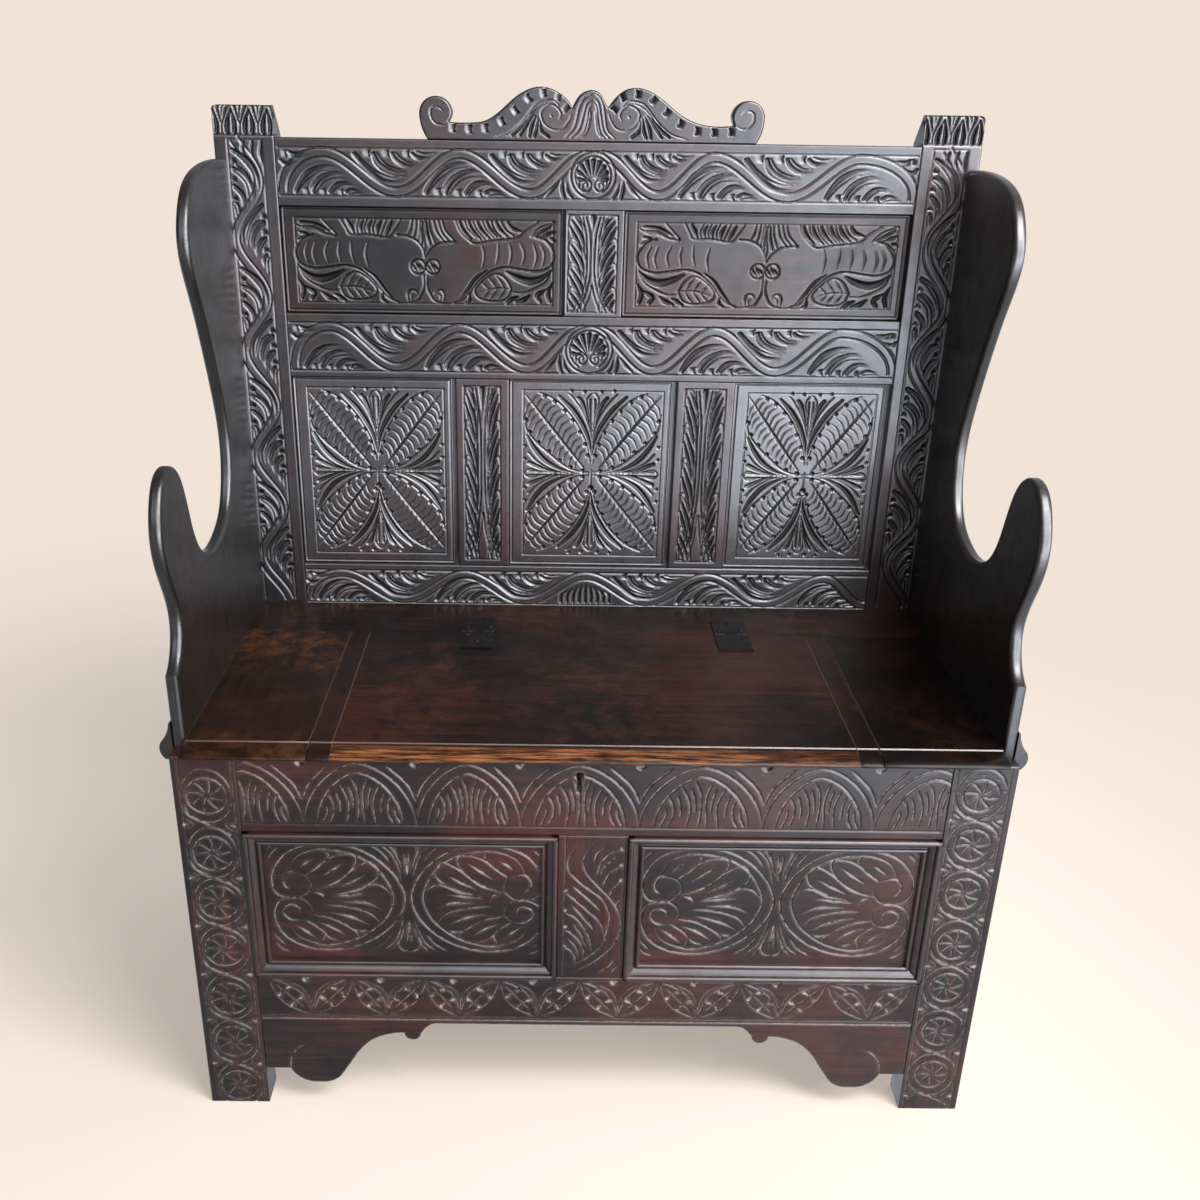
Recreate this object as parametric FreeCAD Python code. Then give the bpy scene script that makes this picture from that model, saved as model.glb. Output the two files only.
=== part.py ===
"""Small carved oak box settle: a joined chest with a hinged seat, a framed panelled back and shaped wings.

Units are millimetres. X runs to the sitter's left and right, Z up, and Y from the front stiles (0) to the
back. The pieces are drawn from the front face and save() moves them, so that the origin lies on the floor
under the middle of the whole settle.
"""
import os

import FreeCAD
import Part

V = FreeCAD.Vector

# Driving sizes of the whole settle
WIDTH = 960.0            # over the stiles
BACK_FACE = 429.0        # front face of the back frame
REAR = 471.0             # rear face of the back stiles
FRAME_TOP = 509.0        # top of the box frame, under the seat boards
SEAT_TOP = 520.0
POST_TOP = 1184.0        # top of the carved caps
CAP_THICK = 10.0         # the caps are this thick at the top, and slope away behind
NOSE = 10.0              # the seat's edge stands this far in front of the stiles
SIDE_PROUD = 16.0        # the side mouldings stand this far outside the stiles
Y_MIDDLE = (REAR - NOSE) / 2

# Frame stock
HALF = WIDTH / 2
FRONT_STILE = (74.0, 40.0)
BACK_STILE = (75.0, REAR - BACK_FACE)
RAIL_THICK = 28.0
TENON_AT = (9.0, 19.0)   # depth of the tenon behind the face
TENON_LONG = 30.0
MUNTIN_TENON = 18.0
GROOVE_AT = (12.0, 20.0)
GROOVE_DEEP = 8.0
PANEL_SET_BACK = 7.0     # panel face behind the frame face
SHRINK = 5.0             # the lower back panels have shrunk away from their right-hand frame
PLAY = 0.5               # room for a panel edge to move in its groove
PEG_R = 3.5
PEG_FIT = 0.05

# Levels of the rails, bottom to top
FOOT_RAIL = (138.0, 205.0)
FRONT_TOP_RAIL = (410.0, FRAME_TOP)
SEAT_RAIL = (440.0, 580.0)
MIDDLE_RAIL = (848.0, 932.0)
TOP_RAIL = (1066.0, 1147.0)

# Uprights between the panels: left and right edge
FRONT_MUNTIN = (-40.0, 42.0)
UPPER_MUNTIN = (-40.0, 36.0)
LOWER_MUNTINS = ((-184.0, -112.0), (115.0, 193.0))
BOX_MUNTIN = (-38.0, 38.0)

# Wings
WING_IN = 466.0
WING_THICK = 15.0
WING_FRONT = 20.0
WING_EDGE = 5.0

# Seat
LID_HALF = 324.0
CLEAT = 26.0
LID_SEAM = 253.0
HINGE_Y = 331.0
SEAM_GAP = 0.4
QUIRK = 19.0             # quirk of the thumbnail moulding, behind the nose
TONGUE = 8.0

# Hinges: flat iron leaves with the knuckles sunk level with them
HINGE_X = (-151.0, 197.0)
LEAF_WIDE = 46.0
LEAF_THICK = 2.0
LEAF_LONG = {"seat": 43.0, "lid": 53.0}
LEAF_SIDE = {"seat": 1, "lid": -1}
KNUCKLE_R = 2.2
KNUCKLE_ROOM = 3.2
HINGE_Z = SEAT_TOP + 0.2
PIN_R = 1.0
NAIL_R = 1.3
NAIL_DEEP = 8.0
NAIL_SPOTS = ((-15.0, 12.0), (15.0, 13.0), (0.0, 34.0))

# Lock
KEY_X = -17.0
LOCK = (-62.0, 18.0, 28.0, 56.0, 456.0, 506.0)
LOCK_WALL = 1.5
STAPLE = (-26.0, -19.0, 38.0, 49.0, 474.0)
BOLT = (-56.0, -29.0, 41.5, 45.5, 482.0, 490.0)

CREST_X = -7.0


def box(x0, x1, y0, y1, z0, z1):
    return Part.makeBox(x1 - x0, y1 - y0, z1 - z0, V(x0, y0, z0))


def rod(x, y, z, radius, length, axis):
    return Part.makeCylinder(radius, length, V(x, y, z), V(*axis))


def mirror(shape):
    return shape.mirror(V(0, 0, 0), V(1, 0, 0))


def path(start, steps):
    """A closed outline from lines, three-point arcs and splines; each step ends on its last point."""
    edges = []
    here = start
    for kind, *points in steps:
        if kind == "line":
            for point in points:
                edges.append(Part.makeLine(here, point))
                here = point
        elif kind == "arc":
            edges.append(Part.Arc(here, *points).toShape())
        else:
            curve = Part.BSplineCurve()
            curve.interpolate([here] + points)
            edges.append(curve.toShape())
        here = points[-1]
    if here.distanceToPoint(start) > 1e-6:
        edges.append(Part.makeLine(here, start))
    return Part.Face(Part.Wire(edges))


def xz(points, y=0.0):
    return [V(x, y, z) for x, z in points]


def yz(points, x=0.0):
    return [V(x, y, z) for y, z in points]


def cut(shape, *tools):
    for tool in tools:
        shape = shape.cut(tool)
    return shape


def save(name, *solids):
    shape = solids[0] if len(solids) == 1 else Part.makeCompound(list(solids))
    shape = shape.copy()
    shape.translate(V(0, -Y_MIDDLE, 0))
    shape.exportStep("parts/%s.step" % name)


# Joinery shared by the front and the back frame

def tenon(x0, x1, z0, z1, face):
    return box(x0, x1, face + TENON_AT[0], face + TENON_AT[1], z0, z1)


def rail_tenons(level, face, inner):
    """The two tenons of a rail, set in from its grooved edges."""
    low = level[0] + GROOVE_DEEP + 3
    high = level[1] - GROOVE_DEEP - 3
    return [tenon(side * inner - (TENON_LONG if side < 0 else 0),
                  side * inner + (TENON_LONG if side > 0 else 0), low, high, face) for side in (-1, 1)]


def muntin_tenons(edges, low, high, face):
    x0 = edges[0] + GROOVE_DEEP + 3
    x1 = edges[1] - GROOVE_DEEP - 3
    return [tenon(x0, x1, low - MUNTIN_TENON, low, face), tenon(x0, x1, high, high + MUNTIN_TENON, face)]


def groove(opening, face):
    """The space that a panel's edges need round an opening."""
    x0, x1, z0, z1 = opening
    return box(x0 - GROOVE_DEEP, x1 + GROOVE_DEEP, face + GROOVE_AT[0], face + GROOVE_AT[1],
               z0 - GROOVE_DEEP, z1 + GROOVE_DEEP)


def panel(opening, face, gap=PLAY):
    """A board with a tongue all round and a bevelled margin behind; gap is beside its right edge."""
    x0, x1, z0, z1 = opening
    grow = GROOVE_DEEP - PLAY
    tongue = box(x0 - grow, x1 + grow, face + GROOVE_AT[0], face + GROOVE_AT[1], z0 - grow, z1 + grow)
    field = box(x0 + PLAY, x1 - gap, face + PANEL_SET_BACK, face + GROOVE_AT[1], z0 + PLAY, z1 - PLAY)
    back = Part.makeLoft([Part.Wire(Part.makePolygon(xz(
        [(x0 + s, z0 + s), (x1 - s, z0 + s), (x1 - s, z1 - s), (x0 + s, z1 - s), (x0 + s, z0 + s)],
        face + y))) for s, y in ((4, GROOVE_AT[1]), (22, GROOVE_AT[1] + 4))], True)
    return tongue.fuse([field, back]).removeSplitter()


def board(x0, x1, z0, z1, face, thick=RAIL_THICK):
    return box(x0, x1, face, face + thick, z0, z1)


def peg_pair(x, level, face):
    """Two pegs driven from behind, which stop short of the carved face."""
    mid = (level[0] + level[1]) / 2
    gap = (level[1] - level[0]) / 2 - 22
    return [(x, mid + side * gap, face) for side in (-1, 1)]


def peg(spot, back, extra=0.0):
    x, z, face = spot
    return rod(x, face + 5 - extra, z, PEG_R + extra, back - 5 + extra, (0, 1, 0))


# Front of the box

FRONT_IN = HALF - FRONT_STILE[0]
FRONT_OPENINGS = ((-FRONT_IN, FRONT_MUNTIN[0], FOOT_RAIL[1], FRONT_TOP_RAIL[0]),
                  (FRONT_MUNTIN[1], FRONT_IN, FOOT_RAIL[1], FRONT_TOP_RAIL[0]))


def keyhole():
    """Round eye with a slot below it, through the rail."""
    eye = rod(KEY_X, -1, 490, 4, RAIL_THICK + 2, (0, 1, 0))
    slot = box(KEY_X - 2, KEY_X + 2, -1, RAIL_THICK + 1, 470, 490)
    return eye.fuse(slot)


def side_tenons(side):
    """Tenons of the two side rails, in the front and the back stile."""
    x0, x1 = sorted((side * (HALF - TENON_AT[1]), side * (HALF - TENON_AT[0])))
    depth = FRONT_STILE[1]
    return [box(x0, x1, y0, y1, low + 24, high - 24)
            for low, high in (FOOT_RAIL, FRONT_TOP_RAIL)
            for y0, y1 in ((depth - 14, depth), (BACK_FACE, BACK_FACE + 14))]


def side_groove(side):
    x0, x1 = sorted((side * (HALF - GROOVE_AT[1]), side * (HALF - GROOVE_AT[0])))
    depth = FRONT_STILE[1]
    return box(x0, x1, depth - GROOVE_DEEP, BACK_FACE + GROOVE_DEEP,
               FOOT_RAIL[1] - GROOVE_DEEP, FRONT_TOP_RAIL[0] + GROOVE_DEEP)


def front_frame():
    grooves = [groove(opening, 0) for opening in FRONT_OPENINGS]
    mortises = rail_tenons(FOOT_RAIL, 0, FRONT_IN) + rail_tenons(FRONT_TOP_RAIL, 0, FRONT_IN)
    between = muntin_tenons(FRONT_MUNTIN, FOOT_RAIL[1], FRONT_TOP_RAIL[0], 0)
    holes = [peg(spot, RAIL_THICK + 0.1, PEG_FIT) for spot in front_pegs()]
    for name, side in (("left", -1), ("right", 1)):
        x0, x1 = sorted((side * HALF, side * FRONT_IN))
        stile = board(x0, x1, 0, FRAME_TOP, 0, FRONT_STILE[1])
        stile_holes = [peg(spot, FRONT_STILE[1] + 0.1, PEG_FIT) for spot in front_pegs()]
        stile = cut(stile, *grooves, *mortises, *side_tenons(side), side_groove(side), *stile_holes)
        save("front_stile_" + name, stile)
    for name, level in (("bottom", FOOT_RAIL), ("top", FRONT_TOP_RAIL)):
        rail = cut(board(-FRONT_IN, FRONT_IN, *level, 0), *grooves, *between)
        rail = cut(rail.fuse(rail_tenons(level, 0, FRONT_IN)), *holes)
        if name == "top":
            rail = cut(rail, keyhole())
        save("front_%s_rail" % name, rail.removeSplitter())
    muntin = cut(board(*FRONT_MUNTIN, FOOT_RAIL[1], FRONT_TOP_RAIL[0], 0), *grooves)
    save("front_muntin", muntin.fuse(between).removeSplitter())
    for name, opening in zip(("left", "right"), FRONT_OPENINGS):
        save("front_panel_" + name, panel(opening, 0))
        save("front_moulding_" + name, *mitred_moulding(opening))


def front_pegs():
    return [spot for side in (-1, 1) for level in (FOOT_RAIL, FRONT_TOP_RAIL)
            for spot in peg_pair(side * (FRONT_IN + 14), level, 0)]


def mitred_moulding(opening):
    """Four mitred lengths: an outer bead, a quirk, a hollow and an inner bead, on the panel's face."""
    x0, x1, z0, z1 = opening
    back = PANEL_SET_BACK
    strips = []
    for angle, length, middle in ((0, x1 - x0, z0), (180, x1 - x0, z1), (90, z1 - z0, x1), (270, z1 - z0, x0)):
        h = length / 2
        outline = path(V(-h, back, 0), [
            ("line", V(-h, -3, 0)),
            ("arc", V(-h, -6, 3), V(-h, -3, 6)),
            ("line", V(-h, -1, 6.6)),
            ("arc", V(-h, 0.6, 10), V(-h, 4.0, 13.6)),
            ("line", V(-h, 3.2, 14.4)),
            ("arc", V(-h, 0.6, 17), V(-h, 3.2, 19.6)),
            ("line", V(-h, back, 20))])
        strip = outline.extrude(V(length, 0, 0))
        for side in (-1, 1):
            corner = [V(side * h, -9, 0), V(side * h, -9, 21), V(side * (h - 21), -9, 21)]
            wedge = Part.Face(Part.makePolygon(corner + corner[:1])).extrude(V(0, 30, 0))
            wedge.translate(V(-side * 0.05, 0, 0))
            strip = strip.cut(wedge)
        strip.rotate(V(0, 0, 0), V(0, -1, 0), angle)
        across = (x0 + x1) / 2 if angle in (0, 180) else middle
        up = middle if angle in (0, 180) else (z0 + z1) / 2
        strip.translate(V(across, 0, up))
        strips.append(strip)
    return strips


def front_apron():
    """Sawn skirt under the front: scroll brackets, long ogees and two small drops."""
    half = xz([(-FRONT_IN, 56), (-375, 56)])
    steps = [
        ("line", half[1]),
        ("arc", V(-363, 0, 40), V(-338, 0, 33.5)),
        ("arc", V(-320, 0, 37), V(-308.8, 0, 48.2)),
        ("line", V(-293, 0, 74)),
        ("spline", V(-282.7, 0, 89.8), V(-266, 0, 105), V(-246, 0, 113), V(-228.5, 0, 115)),
        ("arc", V(-217.5, 0, 104), V(-207.5, 0, 115)),
        ("spline", V(-203, 0, 121), V(-196, 0, 127.5), V(-187, 0, 130)),
        ("line", V(0, 0, 130), V(0, 0, FOOT_RAIL[0]), V(-FRONT_IN, 0, FOOT_RAIL[0]))]
    face = path(half[0], steps)
    left = face.extrude(V(0, 22, 0))
    return left.fuse(mirror(left)).removeSplitter()


# Sides of the box and the bearers inside it

def side_frame(name, side):
    depth = FRONT_STILE[1]
    x0, x1 = sorted((side * (HALF - RAIL_THICK), side * HALF))
    tenons = side_tenons(side)
    slot = side_groove(side)
    for part, level, pair in (("bottom", FOOT_RAIL, tenons[:2]), ("top", FRONT_TOP_RAIL, tenons[2:])):
        rail = cut(box(x0, x1, depth, BACK_FACE, *level), slot)
        save("side_%s_rail_%s" % (part, name), rail.fuse(pair).removeSplitter())
    grow = GROOVE_DEEP - PLAY
    a, b = sorted((side * (HALF - GROOVE_AT[1]), side * (HALF - GROOVE_AT[0])))
    tongue = box(a, b, depth - grow, BACK_FACE + grow, FOOT_RAIL[1] - grow, FRONT_TOP_RAIL[0] + grow)
    a, b = sorted((side * (HALF - GROOVE_AT[1]), side * (HALF - PANEL_SET_BACK)))
    field = box(a, b, depth + PLAY, BACK_FACE - PLAY, FOOT_RAIL[1] + PLAY, FRONT_TOP_RAIL[0] - PLAY)
    save("side_panel_" + name, tongue.fuse(field).removeSplitter())


def box_inside():
    low = FRAME_TOP - 22
    bearers = [box(x0, x1, RAIL_THICK, BACK_FACE, low, FRAME_TOP) for x0, x1 in ((-348, -300), (300, 348))]
    bearers.append(box(-299.9, 299.9, BACK_FACE - 25, BACK_FACE, low, FRAME_TOP))
    save("seat_bearers", *bearers)
    ledge = (FOOT_RAIL[0] + 4, FOOT_RAIL[0] + 24)
    save("floor_ledgers", box(-FRONT_IN, FRONT_IN, RAIL_THICK, RAIL_THICK + 20, *ledge),
         box(-FRONT_IN, FRONT_IN, BACK_FACE - 20, BACK_FACE, *ledge))
    seams = (RAIL_THICK + 0.5, 162, 296, BACK_FACE - 0.5)
    floor = []
    for near, far in zip(seams, seams[1:]):
        reach = FRONT_IN - 1 if near < FRONT_STILE[1] else HALF - RAIL_THICK - 1
        floor.append(box(-reach, reach, near, far - 1, ledge[1], ledge[1] + 13))
    save("floor_boards", *floor)


# Back frame

BACK_IN = HALF - BACK_STILE[0]
UPPER_OPENINGS = ((-BACK_IN, UPPER_MUNTIN[0], MIDDLE_RAIL[1], TOP_RAIL[0]),
                  (UPPER_MUNTIN[1], BACK_IN, MIDDLE_RAIL[1], TOP_RAIL[0]))
LOWER_OPENINGS = ((-BACK_IN, LOWER_MUNTINS[0][0], SEAT_RAIL[1], MIDDLE_RAIL[0]),
                  (LOWER_MUNTINS[0][1], LOWER_MUNTINS[1][0], SEAT_RAIL[1], MIDDLE_RAIL[0]),
                  (LOWER_MUNTINS[1][1], BACK_IN, SEAT_RAIL[1], MIDDLE_RAIL[0]))
BOX_OPENINGS = ((-BACK_IN, BOX_MUNTIN[0], FOOT_RAIL[1], SEAT_RAIL[0]),
                (BOX_MUNTIN[1], BACK_IN, FOOT_RAIL[1], SEAT_RAIL[0]))
BACK_RAILS = (("top", TOP_RAIL), ("middle", MIDDLE_RAIL), ("seat", SEAT_RAIL), ("foot", FOOT_RAIL))


def back_pegs():
    return [spot for side in (-1, 1) for _, level in BACK_RAILS
            for spot in peg_pair(side * (BACK_IN + 14), level, BACK_FACE)]


def back_frame():
    face = BACK_FACE
    openings = UPPER_OPENINGS + LOWER_OPENINGS + BOX_OPENINGS
    grooves = [groove(opening, face) for opening in openings]
    mortises = [t for _, level in BACK_RAILS for t in rail_tenons(level, face, BACK_IN)]
    muntins = (("back_muntin_upper", UPPER_MUNTIN, MIDDLE_RAIL[1], TOP_RAIL[0]),
               ("back_muntin_lower_left", LOWER_MUNTINS[0], SEAT_RAIL[1], MIDDLE_RAIL[0]),
               ("back_muntin_lower_right", LOWER_MUNTINS[1], SEAT_RAIL[1], MIDDLE_RAIL[0]),
               ("back_muntin_box", BOX_MUNTIN, FOOT_RAIL[1], SEAT_RAIL[0]))
    between = [t for _, edges, low, high in muntins for t in muntin_tenons(edges, low, high, face)]
    dowels = crest_dowels(PEG_FIT)
    for name, level in BACK_RAILS:
        rail = cut(board(-BACK_IN, BACK_IN, *level, face), *grooves, *between)
        holes = [peg(spot, RAIL_THICK + 0.1, PEG_FIT) for spot in back_pegs()]
        rail = cut(rail.fuse(rail_tenons(level, face, BACK_IN)), *holes)
        if name == "top":
            rail = cut(rail, *dowels)
        save("back_%s_rail" % name, rail.removeSplitter())
    for name, edges, low, high in muntins:
        muntin = cut(board(*edges, low, high, face), *grooves)
        save(name, muntin.fuse(muntin_tenons(edges, low, high, face)).removeSplitter())
    holes = [peg(spot, BACK_STILE[1] + 0.1, PEG_FIT) for spot in back_pegs()]
    for name, side in (("left", -1), ("right", 1)):
        x0, x1 = sorted((side * HALF, side * BACK_IN))
        stile = board(x0, x1, 0, POST_TOP, face, BACK_STILE[1])
        corner = [edge for edge in stile.Edges
                  if edge.BoundBox.ZMin > POST_TOP - 1 and abs(edge.CenterOfMass.x) > HALF - 1]
        stile = cut(stile.makeFillet(6, corner), cap_slope(x0, x1))
        stile = cut(stile, *grooves, *mortises, *side_tenons(side), side_groove(side), *holes)
        save("back_stile_" + name, stile)
    names = ("upper_left", "upper_right", "lower_left", "lower_centre", "lower_right", "box_left", "box_right")
    for name, opening in zip(names, openings):
        save("back_panel_" + name, panel(opening, face, SHRINK if "lower" in name else 2.0))


def cap_slope(x0, x1):
    """The wedge cut off behind a post's cap, so that its top sheds dust to the rear."""
    front = BACK_FACE + CAP_THICK
    rear = BACK_FACE + BACK_STILE[1] + 1
    section = path(V(x0 - 1, front, POST_TOP + 1), [
        ("line", V(x0 - 1, front + 2, POST_TOP - 8)),
        ("line", V(x0 - 1, rear, TOP_RAIL[1] + 3), V(x0 - 1, rear, POST_TOP + 1))])
    return section.extrude(V(x1 - x0 + 2, 0, 0))


def all_pegs():
    front = [peg(spot, FRONT_STILE[1]) for spot in front_pegs()]
    back = [peg(spot, BACK_STILE[1]) for spot in back_pegs()]
    save("frame_pegs", *front, *back)


# Crest on the top rail

def crest_dowels(extra=0.0):
    middle = BACK_FACE + 11
    return [rod(CREST_X + x, middle, TOP_RAIL[1] - 20 - extra, 4 + extra, 34 + extra, (0, 0, 1))
            for x in (-105, 105)]


def crest():
    """Two long scrolls meet a lobed tongue; the right hump was sawn a little nearer the middle."""
    base = TOP_RAIL[1]
    steps = [
        ("spline", V(-213.6, 0, 1161.7), V(-216, 0, 1174.3)),
        ("arc", V(-194.8, 0, 1197.5), V(-175.2, 0, 1179)),
        ("spline", V(-176.8, 0, 1172.7), V(-179.9, 0, 1168)),
        ("spline", V(-168.2, 0, 1167.2), V(-152.5, 0, 1167.5), V(-138.4, 0, 1169), V(-125.9, 0, 1174.3),
         V(-113.3, 0, 1183.7), V(-100.8, 0, 1194.6), V(-88.3, 0, 1203.2), V(-64.8, 0, 1209.8),
         V(-42.8, 0, 1203.2), V(-28.7, 0, 1190.7), V(-26.4, 0, 1186.2)),
        ("spline", V(-24, 0, 1191), V(-17, 0, 1201), V(-8, 0, 1206), V(0, 0, 1206.6), V(7, 0, 1203.5),
         V(12.5, 0, 1196), V(18, 0, 1187)),
        ("spline", V(22, 0, 1192), V(32, 0, 1202.6), V(41.6, 0, 1208.2), V(56, 0, 1209.8), V(71.3, 0, 1205.4),
         V(91.7, 0, 1192.2), V(102, 0, 1184.4), V(112.3, 0, 1177.7), V(122.4, 0, 1173), V(137, 0, 1168.8),
         V(152.8, 0, 1167), V(168, 0, 1167.4), V(176, 0, 1168)),
        ("spline", V(173.6, 0, 1172.7), V(172.4, 0, 1179)),
        ("arc", V(191.8, 0, 1197), V(213, 0, 1174.3)),
        ("spline", V(211, 0, 1161.7), V(204, 0, base))]
    whole = path(V(-206, 0, base), steps).extrude(V(0, 18, 0))
    whole.translate(V(CREST_X, BACK_FACE + 2, 0))
    save("crest", cut(whole, *crest_dowels(PEG_FIT)))
    save("crest_dowels", *crest_dowels())


# Wings and the mouldings at their feet

def wing():
    """Left wing: a shaped board, waisted over the seat, with a scrolled arm and a raking upper lobe."""
    x = -(WING_IN + WING_THICK)
    outline = path(V(x, BACK_FACE, FRAME_TOP), [
        ("line", V(x, BACK_FACE, 1121)),
        ("spline", *yz([(395, 1122), (360, 1121), (305, 1114), (265, 1098), (240, 1070), (230, 1040),
                        (237, 1008), (256, 972), (283, 915), (308, 850), (322, 788), (314, 740), (288, 703),
                        (252, 687), (218, 682), (185, 687), (160, 701), (142, 725), (131, 755), (121, 785),
                        (105, 811), (82, 823), (56, 818), (34, 794), (23, 758), (28, 724), (45, 686),
                        (54, 652), (47, 624), (WING_FRONT, 600)], x)),
        ("line", V(x, WING_FRONT, FRAME_TOP))])
    solid = outline.extrude(V(WING_THICK, 0, 0))
    shaped = [edge for edge in solid.Edges
              if edge.Length > 60 and edge.BoundBox.XLength < 1 and edge.BoundBox.ZMax > 590
              and edge.BoundBox.YMin < BACK_FACE - 1]
    return solid.makeFillet(WING_EDGE, shaped)


def wing_moulding():
    """Hollow-and-round strip outside the left wing's foot, which hangs a little over the frame."""
    x = -(WING_IN + WING_THICK)
    outer = -(HALF + SIDE_PROUD)
    y = WING_FRONT
    face = path(V(x, y, FRAME_TOP), [
        ("line", V(x, y, 541), V(x - 2, y, 540)),
        ("arc", V(x - 6, y, 526), V(outer + 2, y, 516)),
        ("arc", V(outer, y, 504), V(outer + 6, y, 494)),
        ("line", V(-HALF - 0.2, y, 494), V(-HALF - 0.2, y, FRAME_TOP))])
    return face.extrude(V(0, BACK_FACE - y, 0))


# Seat

def nose_profile(back):
    """Section of a seat board with the thumbnail moulding on its front edge."""
    low = FRAME_TOP
    top = SEAT_TOP
    return [
        ("line", V(0, back, top), V(0, QUIRK, top)),
        ("line", V(0, QUIRK - 1, top - 1.4)),
        ("spline", V(0, 9, top - 1.6), V(0, 0, top - 2.6), V(0, -6, top - 4.6), V(0, -NOSE, top - 7.6)),
        ("arc", V(0, -NOSE + 2.2, low + 0.7), V(0, -NOSE + 5, low))]


def nose_board(x0, x1, back):
    face = path(V(0, back, FRAME_TOP), nose_profile(back))
    solid = face.extrude(V(x1 - x0, 0, 0))
    solid.translate(V(x0, 0, 0))
    return solid


def nail(x, y, extra=0.0):
    shank = rod(x, y, SEAT_TOP - NAIL_DEEP - extra, NAIL_R + extra, NAIL_DEEP + LEAF_THICK + extra, (0, 0, 1))
    if extra:
        return shank
    level = SEAT_TOP + LEAF_THICK
    dome = Part.makeSphere(4.8, V(x, y, level - 3.4))
    return shank.fuse(dome.common(box(x - 6, x + 6, y - 6, y + 6, level, level + 5)))


def nail_spots(owner):
    return [(hinge + dx, HINGE_Y + LEAF_SIDE[owner] * dy) for hinge in HINGE_X for dx, dy in NAIL_SPOTS]


def knuckle_room():
    """Shallow housings in the two boards, where the knuckles lie."""
    return [box(x - LEAF_WIDE / 2 - 1, x + LEAF_WIDE / 2 + 1, HINGE_Y - KNUCKLE_ROOM, HINGE_Y + KNUCKLE_ROOM,
                HINGE_Z - KNUCKLE_R - 0.6, SEAT_TOP + 1) for x in HINGE_X]


def seat():
    seat_holes = [nail(x, y, PEG_FIT) for x, y in nail_spots("seat")]
    lid_holes = [nail(x, y, PEG_FIT) for x, y in nail_spots("lid")]
    rear = box(-WING_IN, WING_IN, HINGE_Y + SEAM_GAP, BACK_FACE, FRAME_TOP, SEAT_TOP)
    save("seat_rear_board", cut(rear, *seat_holes, *knuckle_room()))
    end = nose_board(LID_HALF + SEAM_GAP, WING_IN, HINGE_Y)
    save("seat_end_right", end)
    save("seat_end_left", mirror(end))

    inner = LID_HALF - CLEAT
    low = FRAME_TOP + 3.5
    high = SEAT_TOP - 3.5
    tongue = box(-inner - TONGUE, inner + TONGUE, 30, HINGE_Y - 8, low, high)
    front = nose_board(-inner, inner, LID_SEAM).fuse(tongue.common(box(-400, 400, 30, LID_SEAM, low, high)))
    save("lid_board_front", front.removeSplitter())
    rear_lid = box(-inner, inner, LID_SEAM, HINGE_Y - SEAM_GAP, FRAME_TOP, SEAT_TOP)
    rear_lid = rear_lid.fuse(tongue.common(box(-400, 400, LID_SEAM, HINGE_Y, low, high)))
    save("lid_board_rear", cut(rear_lid.removeSplitter(), *lid_holes, *knuckle_room()))
    cleat = cut(nose_board(inner, LID_HALF - SEAM_GAP, HINGE_Y - SEAM_GAP), tongue)
    save("lid_cleat_right", cleat)
    save("lid_cleat_left", mirror(cleat))


def hinge_leaf(owner, x):
    """A leaf with its own knuckles, cut back beside the other leaf's so that the hinge can fold."""
    side = LEAF_SIDE[owner]
    knuckles = (0, 2) if owner == "seat" else (1,)
    third = LEAF_WIDE / 3
    start = x - LEAF_WIDE / 2
    y0, y1 = sorted((HINGE_Y + side * KNUCKLE_ROOM, HINGE_Y + side * LEAF_LONG[owner]))
    leaf = box(start, start + LEAF_WIDE, y0, y1, SEAT_TOP, SEAT_TOP + LEAF_THICK)
    for index in knuckles:
        a = start + index * third + 0.2
        y0, y1 = sorted((HINGE_Y, HINGE_Y + side * (KNUCKLE_ROOM + 1)))
        strap = box(a, a + third - 0.4, y0, y1, SEAT_TOP, SEAT_TOP + LEAF_THICK)
        leaf = leaf.fuse([strap, rod(a, HINGE_Y, HINGE_Z, KNUCKLE_R, third - 0.4, (1, 0, 0))])
    leaf = leaf.cut(rod(start - 1, HINGE_Y, HINGE_Z, PIN_R + PEG_FIT, LEAF_WIDE + 2, (1, 0, 0)))
    holes = [nail(x + dx, HINGE_Y + side * dy, PEG_FIT) for dx, dy in NAIL_SPOTS]
    return cut(leaf.removeSplitter(), *holes)


def hinges():
    for name, x in zip(("left", "right"), HINGE_X):
        for owner in LEAF_SIDE:
            save("hinge_leaf_%s_%s" % (owner, name), hinge_leaf(owner, x))
    pins = [rod(x - LEAF_WIDE / 2, HINGE_Y, HINGE_Z, PIN_R, LEAF_WIDE, (1, 0, 0)) for x in HINGE_X]
    save("hinge_pins", *pins)
    for owner in LEAF_SIDE:
        save("hinge_nails_" + owner, *[nail(x, y) for x, y in nail_spots(owner)])


# Lock behind the keyhole

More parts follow.
